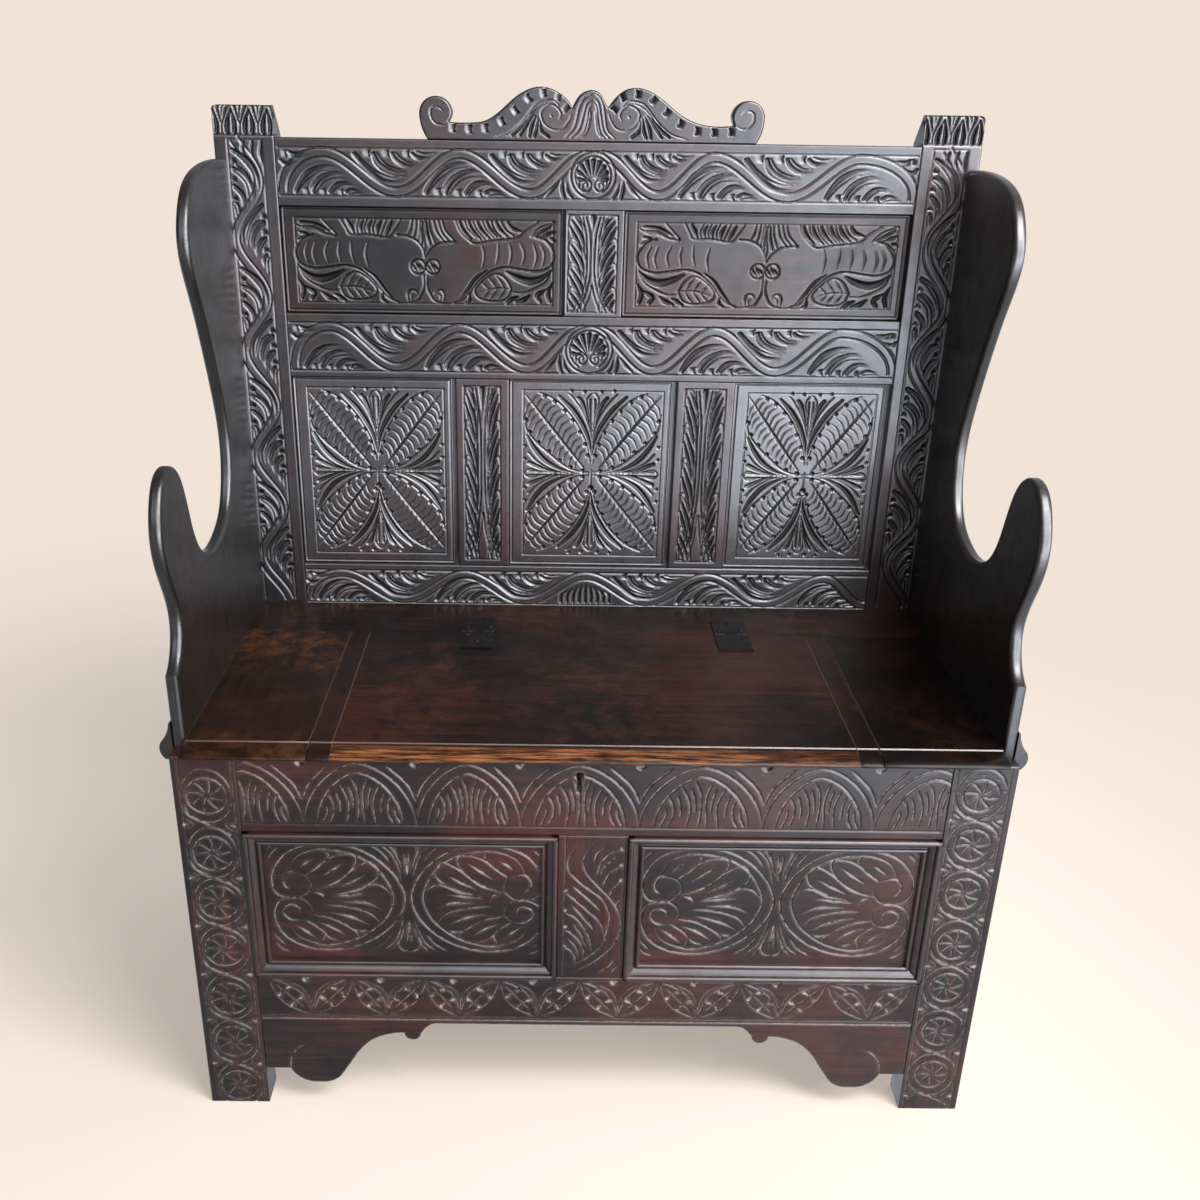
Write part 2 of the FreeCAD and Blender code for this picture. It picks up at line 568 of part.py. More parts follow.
def lock():
    x0, x1, y0, y1, z0, z1 = LOCK
    w = LOCK_WALL
    case = box(*LOCK).cut(box(x0 + w, x1 - w, y0 + w, y1 - w, z0 + w, z1 - w))
    sx0, sx1, sy0, sy1, sz = STAPLE
    mouth = box(sx0 - 2, sx1 + 2, y0 + w, y1 - w, z1 - w - 1, z1 + 1)
    key = keyhole()
    key.translate(V(0, 3, 0))
    guide = box(x0 + w, BOLT[0] + 14, BOLT[2] - 4, BOLT[3] + 4, BOLT[4] - 4, BOLT[5] + 4)
    guide = guide.cut(box(x0, BOLT[0] + 20, BOLT[2] - 0.2, BOLT[3] + 0.2, BOLT[4] - 0.2, BOLT[5] + 0.2))
    strut = box(x0 + w, BOLT[0] + 14, BOLT[3] + 4, y1 - w, BOLT[4], BOLT[5])
    save("lock_case", case.cut(mouth).cut(key).fuse([guide, strut]).removeSplitter())
    save("lock_bolt", box(*BOLT))
    plate = box(sx0 - 12, sx1 + 12, sy0 - 5, sy1 + 4, FRAME_TOP - 1.5, FRAME_TOP)
    loop = box(sx0, sx1, sy0, sy1, sz, FRAME_TOP - 1.5)
    eye = box(sx0 - 1, sx1 + 1, sy0 + 2.5, sy1 - 2.5, sz + 3, BOLT[5] + 5)
    save("lid_staple", plate.fuse(loop).cut(eye).removeSplitter())


def main():
    os.makedirs("parts", exist_ok=True)
    front_frame()
    save("front_apron", front_apron())
    for name, side in (("left", -1), ("right", 1)):
        side_frame(name, side)
    box_inside()
    back_frame()
    all_pegs()
    crest()
    left_wing = wing()
    save("wing_left", left_wing)
    save("wing_right", mirror(left_wing))
    strip = wing_moulding()
    save("wing_moulding_left", strip)
    save("wing_moulding_right", mirror(strip))
    seat()
    hinges()
    lock()


main()
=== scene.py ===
# %% [markdown]
# # A small carved oak box settle
#
# The settle is a joined chest with a tall panelled back. Its frame, boards, hinges and lock come from the
# solid model, at their real sizes. This lesson dresses them: it cuts the carving into the faces, gives the
# wood its stain, wax and wear, and sets up the light and the camera.

# %% Load the solid model
import math

import bmesh
import bpy
import numpy as np
from mathutils import Matrix, Vector
from mathutils.geometry import delaunay_2d_cdt


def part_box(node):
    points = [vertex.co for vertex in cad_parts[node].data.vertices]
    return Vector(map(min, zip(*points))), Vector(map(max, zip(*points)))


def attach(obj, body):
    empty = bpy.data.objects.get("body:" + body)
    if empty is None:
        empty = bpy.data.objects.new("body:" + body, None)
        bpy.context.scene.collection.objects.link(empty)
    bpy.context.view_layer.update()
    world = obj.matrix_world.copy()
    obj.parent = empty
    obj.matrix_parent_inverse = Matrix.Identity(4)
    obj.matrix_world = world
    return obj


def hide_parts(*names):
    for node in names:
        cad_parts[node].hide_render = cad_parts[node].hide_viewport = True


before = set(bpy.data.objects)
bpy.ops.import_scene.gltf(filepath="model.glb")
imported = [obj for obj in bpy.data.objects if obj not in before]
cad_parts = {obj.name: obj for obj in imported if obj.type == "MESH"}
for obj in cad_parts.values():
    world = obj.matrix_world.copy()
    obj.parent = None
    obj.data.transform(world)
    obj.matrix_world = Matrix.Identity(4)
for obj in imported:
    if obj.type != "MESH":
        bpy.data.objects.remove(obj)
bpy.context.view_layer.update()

# %% [markdown]
# The carver thinks in millimetres on the face of a board: x along the settle and z up from the floor. Only
# the last step, when a face becomes a mesh, turns them into metres. The places of the boards are read from
# the solids, so that the carving always fits them.

# %% Places of the boards
MM = 0.001


def span(node, axis):
    """Lowest and highest value of a solid along an axis, in millimetres."""
    low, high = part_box(node)
    return low[axis] / MM, high[axis] / MM


def added(name, data):
    """A new object in the scene."""
    thing = bpy.data.objects.new(name, data)
    bpy.context.collection.objects.link(thing)
    return thing


FRONT_Y = span("front_stile_left", 1)[0]
BACK_Y = span("back_stile_left", 1)[0]
RAIL_THICK = 28.0
PANEL_SET_BACK = 7.0
FRONT_IN = span("front_stile_right", 0)[0]
BACK_IN = span("back_stile_right", 0)[0]
print("front face at y", round(FRONT_Y, 1), "mm, back face at y", round(BACK_Y, 1), "mm")

# %% [markdown]
# ## The gouges
#
# Every face of this kind of carving is flat wood with cuts in it: a V tool draws the lines, a half-round
# gouge scoops the leaves, and a punch makes the dots. A height field suits that well, because no cut
# undermines the face. A face is a grid of depths, and each tool takes the deeper of its own cut and what is
# there already, as a real tool does. The other ways were bump maps, which stay flat from the side, and
# boolean cuts, which are slow and fragile with thousands of strokes.


# %% A face and its tools
def swept(values, count):
    """A stroke's width or depth, given at a few places, at each of its points."""
    values = np.atleast_1d(np.asarray(values, float))
    return np.interp(np.linspace(0, 1, count), np.linspace(0, 1, len(values)), values)


TOOL_FORM = {
    "v": lambda r: 1 - r,
    "u": lambda r: 1 - r * r,
    "flat": lambda r: np.minimum(1, 4 * (1 - r)),
}


class Face:
    """A board's face as a grid of how deep the wood is cut, in millimetres."""

    def __init__(self, x0, x1, z0, z1, step, plain_below=None):
        self.box = (x0, x1, z0, z1)
        self.x = np.linspace(x0, x1, int(round((x1 - x0) / step)) + 1)
        self.z = np.linspace(z0, z1, int(round((z1 - z0) / step)) + 1)
        if plain_below:
            hidden = self.z < plain_below
            self.z = np.concatenate([self.z[hidden][::10], self.z[~hidden]])
        self.cut = np.zeros((len(self.z), len(self.x)))
        self.strokes = 0
        self.bend = None

    def window(self, low, high, reach):
        columns = slice(*np.searchsorted(self.x, (low[0] - reach, high[0] + reach)))
        rows = slice(*np.searchsorted(self.z, (low[1] - reach, high[1] + reach)))
        return rows, columns

    def gouge(self, path, width, depth, form="v"):
        """Sweeps a tool along a path; width and depth may be lists of values along it."""
        path = np.asarray(path, float)
        half = swept(width, len(path)) / 2
        deep = swept(depth, len(path))
        for start in range(0, len(path) - 1, 8):
            piece = slice(start, start + 9)
            self.sweep(path[piece], half[piece], deep[piece], TOOL_FORM[form])
        self.strokes += 1

    def sweep(self, path, half, deep, form):
        rows, columns = self.window(path.min(0), path.max(0), half.max() + 0.5)
        x, z = np.meshgrid(self.x[columns], self.z[rows])
        if not x.size:
            return
        best = self.cut[rows, columns]
        for i in range(len(path) - 1):
            step = path[i + 1] - path[i]
            length = max(step @ step, 1e-9)
            t = np.clip(((x - path[i, 0]) * step[0] + (z - path[i, 1]) * step[1]) / length, 0, 1)
            away = np.hypot(x - path[i, 0] - t * step[0], z - path[i, 1] - t * step[1])
            radius = np.maximum(half[i] + (half[i + 1] - half[i]) * t, 0.05)
            depth = deep[i] + (deep[i + 1] - deep[i]) * t
            best = np.maximum(best, depth * form(np.minimum(away / radius, 1)))
        self.cut[rows, columns] = best

    def line(self, path, width=2.2, depth=1.3):
        """A V-tool line, lighter where the tool enters and leaves."""
        width = width + 0.9
        self.gouge(path, [width * 0.6] + [width] * 6 + [width * 0.6],
                   [depth * 0.5] + [depth] * 6 + [depth * 0.5])

    def dot(self, x, z, radius=1.6, depth=1.2):
        self.gouge([(x, z), (x + 0.01, z)], 2 * radius, depth, "u")

    def chip(self, x, z, angle, length=9.0, width=9.0, depth=3.0):
        """A gouge driven in and stopped: the cut deepens on its way and ends at a clean, hollow edge."""
        rows, columns = self.window((x, z), (x, z), length + width)
        gx, gz = np.meshgrid(self.x[columns] - x, self.z[rows] - z)
        along = gx * math.cos(angle) + gz * math.sin(angle)
        across = np.clip(1 - (2 * (gz * math.cos(angle) - gx * math.sin(angle)) / width) ** 2, 0, 1)
        inside = (along > 0) & (along < length * (1.05 - 0.2 * across))
        cut = depth * np.clip(along / (0.9 * length), 0, 1) ** 1.3 * across ** 0.5 * inside
        self.cut[rows, columns] = np.maximum(self.cut[rows, columns], cut)
        self.strokes += 1


# %% [markdown]
# A carver's stroke is a smooth curve through a few points, so `smooth` runs a Catmull-Rom curve through the
# points it is given. A ring has its own formula.


# %% Paths for the tools
def smooth(points, step=2.0):
    """A smooth curve through the points, with a point about every step."""
    points = [np.asarray(p, float) for p in points]
    ends = [2 * points[0] - points[1]] + points + [2 * points[-1] - points[-2]]
    path = []
    for a, b, c, d in zip(ends, ends[1:], ends[2:], ends[3:]):
        count = max(2, int(np.hypot(*(c - b)) / step) + 1)
        for t in np.linspace(0, 1, count, endpoint=False):
            path.append(0.5 * (2 * b + (c - a) * t + (2 * a - 5 * b + 4 * c - d) * t ** 2
                               + (3 * b - a - 3 * c + d) * t ** 3))
    path.append(points[-1])
    return np.array(path)


def ring(x, z, radius, start=0, end=360, squash=1.0):
    """An arc round a centre; angles in degrees, from +x towards +z."""
    count = max(6, int(abs(end - start) / 360 * 2 * math.pi * radius / 2))
    angle = np.radians(np.linspace(start, end, count + 1))
    return np.stack([x + radius * np.cos(angle), z + radius * squash * np.sin(angle)], 1)


def beside(path, distance):
    """The path moved sideways, to its left for a positive distance."""
    path = np.asarray(path, float)
    along = np.gradient(path, axis=0)
    along /= np.maximum(np.hypot(along[:, 0], along[:, 1]), 1e-6)[:, None]
    return path + distance * np.stack([-along[:, 1], along[:, 0]], 1)


# %% [markdown]
# ## From a face to a board
#
# The front of a carved board is the grid, pushed back by the depth of the cuts. Four walls and a back close
# it, so that it is a solid board from every side. Two attributes go with it: how deep each point lies, for
# the painted shade in the recesses, and how far it stands above its surroundings, for the shiny ridges,
# which are painted paler, partly as wear and partly as a painted highlight.


# %% Close a face into a board
def mesh_from_arrays(name, verts, faces, smooth_count):
    """A mesh from arrays of corners; the first smooth_count faces are shaded smooth."""
    mesh = bpy.data.meshes.new(name)
    sizes = np.array([len(face) for face in faces], dtype=np.int32)
    corners = np.concatenate([np.asarray(face, dtype=np.int32) for face in faces])
    mesh.vertices.add(len(verts))
    mesh.vertices.foreach_set("co", np.asarray(verts, dtype=np.float32).ravel())
    mesh.loops.add(len(corners))
    mesh.loops.foreach_set("vertex_index", corners)
    mesh.polygons.add(len(sizes))
    mesh.polygons.foreach_set("loop_start", np.concatenate([[0], np.cumsum(sizes)[:-1]]).astype(np.int32))
    mesh.update(calc_edges=True)
    shading = np.zeros(len(sizes), dtype=bool)
    shading[:smooth_count] = True
    mesh.polygons.foreach_set("use_smooth", shading)
    mesh.validate()
    return mesh


def blurred(grid, reach):
    """The mean over a square of cells, by running sums."""
    padded = np.pad(grid, reach, mode="edge")
    for axis in (0, 1):
        total = np.cumsum(padded, axis=axis)
        total = np.insert(total, 0, 0, axis=axis)
        ahead = np.take(total, range(2 * reach + 1, total.shape[axis]), axis=axis)
        behind = np.take(total, range(0, total.shape[axis] - 2 * reach - 1), axis=axis)
        padded = (ahead - behind) / (2 * reach + 1)
    return padded


def give(mesh, name, values):
    layer = mesh.attributes.new(name, "FLOAT", "POINT")
    layer.data.foreach_set("value", np.asarray(values, dtype=np.float32))


def box_shell(low, high):
    """The corners and outward faces of a plain box, in millimetres."""
    xs, ys, zs = zip(low, high)
    corners = np.array([(x, y, z) for x in xs for y in ys for z in zs])
    return corners, ((0, 1, 3, 2), (4, 6, 7, 5), (0, 4, 5, 1), (2, 3, 7, 6), (0, 2, 6, 4), (1, 5, 7, 3))


def close_face(name, face, y_front, y_back, tongue=None, eased=1.2):
    """The carved board; y_back may be one depth, or one for each row of the grid."""
    nz, nx = face.cut.shape
    x, z = np.meshgrid(face.x, face.z)
    edge = np.minimum(np.minimum(x - face.box[0], face.box[1] - x),
                      np.minimum(z - face.box[2], face.box[3] - z))
    cut = face.cut + 0.6 * np.clip(1 - edge / eased, 0, 1) ** 2
    if face.bend:
        x = face.bend(x, z)
    front = np.stack([x, y_front + cut, z], -1).reshape(-1, 3)
    index = np.arange(nz * nx).reshape(nz, nx)
    quads = np.stack([index[:-1, :-1], index[:-1, 1:], index[1:, 1:], index[1:, :-1]], -1).reshape(-1, 4)
    rear = np.concatenate([front[index[:, 0]], front[index[:, -1]]])
    rear[:, 1] = np.tile(np.broadcast_to(y_back, nz), 2)
    left = nz * nx + np.arange(nz)
    right = left + nz
    shell, shell_faces = box_shell(*tongue) if tongue else (np.zeros((0, 3)), ())
    walls = [np.stack(corners, -1) for corners in (
        (index[:-1, 0], index[1:, 0], left[1:], left[:-1]),
        (index[1:, -1], index[:-1, -1], right[:-1], right[1:]),
        (left[:-1], left[1:], right[1:], right[:-1]))]
    ends = [[*index[0, ::-1], left[0], right[0]], [*index[-1], right[-1], left[-1]]]
    shell_faces = [[right[-1] + 1 + i for i in quad] for quad in shell_faces]
    verts = np.concatenate([front, rear, shell]) * MM
    mesh = mesh_from_arrays(name, verts, [*quads, *np.concatenate(walls), *ends, *shell_faces],
                            len(quads))
    rest = np.zeros(len(verts) - nz * nx)
    give(mesh, "cut_depth", np.concatenate([cut.ravel(), rest]))
    give(mesh, "ridge", np.concatenate([(blurred(cut, 3) - cut).ravel(), rest]))
    return mesh


def carved_board(name, face, y_front, y_back, *nodes, tongue=None):
    """Makes the piece that stands for one or more solids of the carcase."""
    piece = added(name, close_face(name, face, y_front, y_back, tongue))
    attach(piece, "carcase")
    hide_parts(*nodes)
    carved.append(piece)
    print(name, "has", face.strokes, "strokes and", len(piece.data.polygons), "faces")
    return piece


# %% [markdown]
# The grids are fine enough for the narrowest stroke. The seat hides
# the foot of the back, so the grid is coarse below the seat's level.

# %% Grids in millimetres, and the list of carved pieces
FINE = 1.1
BACK_GRAIN = 1.2
SEAT_LEVEL = 516.0
carved = []

# %% [markdown]
# ## Running waves of the back
#
# The top, middle and seat rails and the two tall posts carry the same idea: a flat ribbon waves between two
# margin lines, and comma-shaped gouge cuts fill each bay like leaves. Each bay of the wave has the same
# strokes, turned over from one bay to the next, so one small set of strokes serves them all. The carver
# spaced them by eye, so the crests are given one by one where the photograph shows them.

# %% The ribbon and its leaves
BAY = 176
HILL = (
    ("leaf", ((-44, 5), (-37, 17), (-25, 31), (-8, 39.5), (8, 42), (19, 41)), (7, 9, 10, 9, 6, 2)),
    ("stop", ((-43, 2.5), (-33, 15.5), (-23.5, 24), (-8, 34), (10, 36.5)), None),
    ("chip", ((-34.5, 6),), 11),
    ("stop", ((-21.5, 9), (-13.8, 20), (-2.8, 28.4), (11, 33.5), (28, 35)), None),
    ("leaf", ((-17, 4), (-14.5, 12), (-6.5, 22), (5.5, 29), (19, 31.5), (33, 31)),
     (6, 8.5, 9, 7.5, 5, 2)),
    ("stop", ((-14, 2.5), (-6, 13.5), (4, 21.5), (17, 24.5), (36, 24.5)), None),
    ("chip", ((-8, 5),), 11),
    ("leaf", ((8.5, 4), (13.5, 10), (21, 16), (30.5, 18.3), (44, 17)), (5.5, 7.5, 7, 5, 2)),
    ("stop", ((11.5, 2.5), (19.5, 10.5), (29, 15), (47, 14.5)), None),
    ("chip", ((21, 4.5),), 9.5),
    ("leaf", ((34, 5), (42, 8), (57, 6)), (5.5, 6, 2)),
    ("stop", ((37, 2), (48, 3.5), (61, 2.5)), None),
)
SKY = (
    ("leaf", ((-53, 6), (-44, 16.5), (-31, 28.5), (-17.5, 38), (-3, 40), (10, 38)),
     (5, 8.5, 9.5, 8.5, 6, 2)),
    ("stop", ((-51, 4), (-38.7, 17), (-23.5, 28), (-5.5, 34), (10, 33)), None),
    ("chip", ((-42, 4.5),), 11),
    ("stop", ((-30, 5), (-26.3, 16.3), (-18, 24.6), (-2.8, 30.9), (14, 31.5)), None),
    ("leaf", ((-27, 5.5), (-22.5, 14.5), (-13, 22), (0, 27), (14, 26)), (6, 8.5, 8.5, 6.5, 2)),
    ("stop", ((-23.5, 4), (-16.6, 14), (-7, 20.5), (7, 24), (21, 21)), None),
    ("chip", ((-18, 4.5),), 11),
    ("leaf", ((-3, 5), (1, 11.5), (9, 17), (18, 19.5), (29, 17.5)), (5.5, 7.5, 7.5, 5.5, 2)),
    ("stop", ((0.5, 3.5), (7, 10), (18, 15.5), (30, 13.8)), None),
    ("chip", ((9.5, 4.5),), 9.5),
    ("leaf", ((23, 5), (30, 9.5), (44, 8.5)), (5.5, 6.5, 2)),
    ("stop", ((27, 2), (38, 4.5), (54, 3)), None),
)
PLUME = tuple(("leaf", ((k * 9.5, 3), (k * 9.2, 16), (k * 6.5, 36 - 3.2 * abs(k))), (4.5, 5.5, 2))
              for k in range(-4, 5))


def bay_leaves(face, strokes, place, scale, deep=3.0):
    """Cuts the leaves of one bay; place turns bay coordinates into the face's."""
    for kind, points, wide in strokes:
        drawn = smooth(points) if len(points) > 1 else points
        path = np.array([place(x * scale, y * scale) for x, y in drawn])
        if kind == "chip":
            ahead = np.array(place(points[0][0] * scale + 1, points[0][1] * scale)) - path[0]
            face.chip(*path[0], math.atan2(ahead[1], ahead[0]), wide * scale, 9.0 * scale, deep)
        elif kind == "stop":
            face.gouge(path, [2.2, 2.8, 2.4, 1.4], [deep, deep * 1.15, deep * 0.8, deep * 0.2])
        else:
            face.gouge(path, [w * scale for w in wide],
                       [deep * 0.9, deep * 0.8, deep * 0.8, deep * 0.5, 0.2], "u")


def ribbon(face, centre, wide, bed=2.4):
    """Two lines along a centre path leave the flat ribbon standing between them."""
    for side in (-1, 1):
        face.gouge(beside(centre, side * (wide / 2 + 1.2)), 3.4, bed)


def margin_lines(face, low, high, x0, x1, depth=1.9):
    for z in (low, high):
        face.gouge([(x0 + (x1 - x0) * t, z) for t in np.linspace(0, 1, 60)], 2.8, depth)


def wave(points):
    """A rounded wave through its turning points; the first piece rises straight from the margin."""
    path = []
    for index, ((xa, za), (xb, zb)) in enumerate(zip(points, points[1:])):
        for t in np.linspace(0, 1, 24, endpoint=False):
            if index == 0:
                path.append((xb - (xb - xa) * math.cos(math.pi / 2 * t),
                             za + (zb - za) * math.sin(math.pi / 2 * t)))
            else:
                path.append((xa + (xb - xa) * t, za + (zb - za) * (1 - math.cos(math.pi * t)) / 2))
    path.append(points[-1])
    return np.array(path)


def corner_curls(face, x, z, side, down):
    """The small cuts that fill the corner outside the first bend of the wave."""
    strokes = (("chip", ((3, 6),), 8), ("leaf", ((13, 4), (20, 7), (33, 5)), (4, 6.5, 2)),
               ("stop", ((14, 9), (22, 10.5), (33, 8)), None),
               ("leaf", ((3, 15), (9, 19), (19, 15)), (5, 6.5, 3)))
    bay_leaves(face, strokes, lambda u, v: (x + side * u, z + down * v), 1.0, 2.8)


def wave_rail(name, node, low, high, band, chains, boss=None, plume=None):
    """A back rail: each chain is a wave that turns at the places given, up for 1 and down for -1."""
    face = Face(-BACK_IN, BACK_IN, low, high, BACK_GRAIN, SEAT_LEVEL)
    base, top = band
    margin_lines(face, base, top, -BACK_IN + 3, BACK_IN - 3)
    middle, tall = (base + top) / 2, top - base
    swing = tall / 2 - 5.2
    for chain in chains:
        from_left = chain[0][0] < chain[-1][0]
        path = wave([(x, middle + swing * side) for x, side in chain])
        ribbon(face, path, 8.6)
        order = sorted(chain)
        for (x, side), (left, _), (right, _) in zip(order[1:-1], order, order[2:]):
            scale = min((right - left) / BAY, tall / 54)
            edge, way, strokes = (base + 1, 1, HILL) if side > 0 else (top - 1, -1, SKY)
            strokes = PLUME if x == plume else strokes
            bay_leaves(face, strokes, lambda u, v: (x + u, edge + way * v), scale)
        end = chain[0][0]
        corner_curls(face, end + (-8 if from_left else 8) * 0.4, top - 1, 1 if from_left else -1, -1)
    if boss is not None:
        medallion(face, boss, middle, tall / 2)
    return carved_board(name, face, BACK_Y, BACK_Y + RAIL_THICK, node)


VOLUTE = ((16.5, -14.5), (17, -7.5), (11, -2.8), (4.2, -6.4), (2.0, -13), (7.6, -19), (13, -15.6),
          (12, -9.4), (7.4, -9.5), (7.6, -13))


def medallion(face, x, z, radius):
    """The round boss in a rail's middle: a ring that curls into two volutes under a fan of petals."""
    face.gouge(ring(x, z, radius - 0.5), 2.8, 2.8)
    inner = radius - 6.0
    face.gouge(ring(x, z, inner, -58, 238), 2.4, 3.2)
    for index in range(9):
        angle = math.radians(-14 + 26 * index)
        start = (x + 5.0 * math.cos(angle), z - 6 + 4 * math.sin(angle))
        end = (x + (inner - 4.6) * math.cos(angle), z + (inner - 4.6) * math.sin(angle))
        face.gouge(smooth([start, end]), [1.6, 4.6, 7.2], [1.8, 3.4, 3.6], "u")
    for side in (-1, 1):
        face.gouge(smooth([(x + side * u, z + v) for u, v in VOLUTE], 1.0), 2.0, 3.4)
        for points, wide in ((((-60, 2), (-52, 10), (-42, 22)), (2, 5, 2)),
                             (((-39, 24), (-38.5, 12), (-36, 2)), (2, 6, 5)),
                             (((-33, 19), (-31, 9), (-26, 2)), (2, 4, 4))):
            path = smooth([(x - side * u, z - radius + v) for u, v in points])
            face.gouge(path, wide, [1.4, 3.2, 2.6], "u")


TOP_CHAINS = (
    ((-398, -1), (-346, 1), (-255, -1), (-175, 1), (-86, -1), (-14, 1)),
    ((402, -1), (331, 1), (241, -1), (146, 1), (76, -1), (4, 1)),
)
MIDDLE_CHAINS = (
    ((-398, -1), (-350, 1), (-262, -1), (-178, 1), (-88, -1), (-14, 1)),
    ((402, -1), (330, 1), (244, -1), (160, 1), (80, -1), (4, 1)),
)
SEAT_CHAINS = (
    ((-402, -1), (-352, 1), (-262, -1), (-176, 1), (-88, -1), (-2, 1), (86, -1), (172, 1), (258, -1),
     (342, 1), (402, -1)),
)
wave_rail("carved_top_rail", "back_top_rail", 1066, 1147, (1079, 1136), TOP_CHAINS, -6)
wave_rail("carved_middle_rail", "back_middle_rail", 848, 932, (857, 920), MIDDLE_CHAINS, -6)
wave_rail("carved_seat_rail", "back_seat_rail", 440, 580, (521, 571), SEAT_CHAINS, plume=-2)

# %% [markdown]
# The posts carry the wave standing up. Their tops are carved as caps: a row of pointed leaves stands on a
# line, with a shadowed gap between them.


# %% The two back posts
CAP_THICK = 10.0
CAP_FOOT = 1150
BORDER_TOP, BORDER_FOOT = 1144.0, 526.0
WING_INSIDE = 466.0
WAVE_LENGTH = 144.5
WAVE_CREST = 1096.0
WAVE_SWING = 17.6


def post_cap(face, x0, x1, base, top):
    """Pointed leaves side by side, each hollowed on both sides of a rib, with tips of others between."""
    pitch = (x1 - x0) * 0.298
    face.gouge([(x0, base), (x1, base)], 3.0, 2.4)
    for index in range(4):
        middle = x0 + pitch * (index - 0.025)
        for side in (-1, 1):
            hollow = [(middle + side * 4.4, base + 2.5), (middle + side * 4.6 + 0.6, base + 13),
                      (middle + 2.0, top - 5)]
            face.gouge(smooth(hollow), [6.2, 6.2, 1.8], [4.6, 5.0, 2.6], "u")
        gap = middle + pitch / 2
        face.gouge([(gap, base + 2), (gap + 0.6, base + 13)], 2.2, 2.6)
        for side in (-1, 1):
            edge = [(gap + 0.4, base + 11), (gap + side * 2.8 + 0.8, base + 20),
                    (gap + side * 6.6 + 1.4, top)]
            face.gouge(smooth(edge), [2.6, 3.6, 4.4], [2.6, 3.6, 3.6])
        face.gouge([(gap + 0.9, base + 18), (gap + 1.4, top)], [1.6, 2.6], [1.6, 2.8])


def back_post(name, node, side):
    x0, x1 = span(node, 0)
    low, high = span(node, 2)
    face = Face(x0, x1, low, high, BACK_GRAIN, SEAT_LEVEL)
    near = side * (BACK_IN + 15.0)
    far = side * (WING_INSIDE - 2.5)
    left, right = sorted((near, far))
    for x in (left, right):
        face.gouge([(x, z) for z in np.linspace(BORDER_FOOT, BORDER_TOP, 80)], 2.4, 1.6)
    face.gouge([(left, BORDER_TOP), (right, BORDER_TOP)], 2.4, 1.6)
    z = np.linspace(BORDER_FOOT, BORDER_TOP, 260)
    sway = WAVE_SWING * np.cos(2 * math.pi * (z - WAVE_CREST) / WAVE_LENGTH)
    ribbon(face, np.stack([near + side * 26.0 + sway, z], 1), 8.4)
    for index in range(-9, 3):
        bay = WAVE_CREST + index * WAVE_LENGTH / 2
        if not BORDER_FOOT + 10 < bay < BORDER_TOP + 20:
            continue
        edge, way, strokes = (left + 1, 1, HILL) if index % 2 == 0 else (right - 1, -1, SKY)
        bay_leaves(face, strokes, lambda u, v: (edge + way * v, bay - u), WAVE_LENGTH / BAY)
    upper = (("leaf", ((20, 3), (18, 12), (22, 22)), (4, 5.5, 3)),
             ("leaf", ((31, 3), (29, 14), (33, 26)), (4, 6, 3)),
             ("leaf", ((42, 3), (40, 16), (43, 32)), (4, 6, 3)))
    bay_leaves(face, upper, lambda u, v: (left + u, BORDER_TOP - v), 1.0)
    post_cap(face, x0, x1, CAP_FOOT, high)
    x, z = np.meshgrid(face.x, face.z)
    face.cut += 1.6 * np.clip(1 - (high - z) / 3.5, 0, 1) ** 2 * (1 + 0.5 * np.sin(x * 0.9))
    outer, corner = (x0, x1)[side > 0], 6.0

    def bend(x, z):
        """Rounds the outer top corner by drawing the last rows in from that side."""
        over = np.clip(z - (high - corner), 0, corner)
        inset = corner - np.sqrt(corner ** 2 - over ** 2)
        return x - side * inset * np.clip(1 - np.abs(x - outer) / 30, 0, 1)

    face.bend = bend
    rear = span(node, 1)[1]
    up = np.clip((face.z - CAP_FOOT) / (high - CAP_FOOT), 0, 1)
    return carved_board(name, face, BACK_Y, rear - (rear - BACK_Y - CAP_THICK) * up, node)


back_post("carved_post_left", "back_stile_left", -1)
back_post("carved_post_right", "back_stile_right", 1)

# %% [markdown]
# ## Uprights between the back panels
#
# Each upright has a stem that spreads at its foot, with long leaf cuts sweeping down to it from both sides.


# %% Stems with leaves
TIER = (
    ("line", ((0.5, 8), (1.5, 2), (6, 0), (13, 5), (20, 17), (23, 32), (22.5, 46)), (1.6, 2.6, 2.8, 2.4)),
    ("scoop", ((4, 9), (10, 17), (16, 27), (19.5, 38), (20.5, 50)), (2.4, 6.5, 6.0, 2.4)),
    ("scoop", ((8, 4.5), (14.5, 12), (19, 23)), (2.0, 4.4, 1.8)),
    ("scoop", ((2, 17), (8, 27), (14, 38), (17, 50)), (3.0, 5.4, 4.6, 1.8)),
)


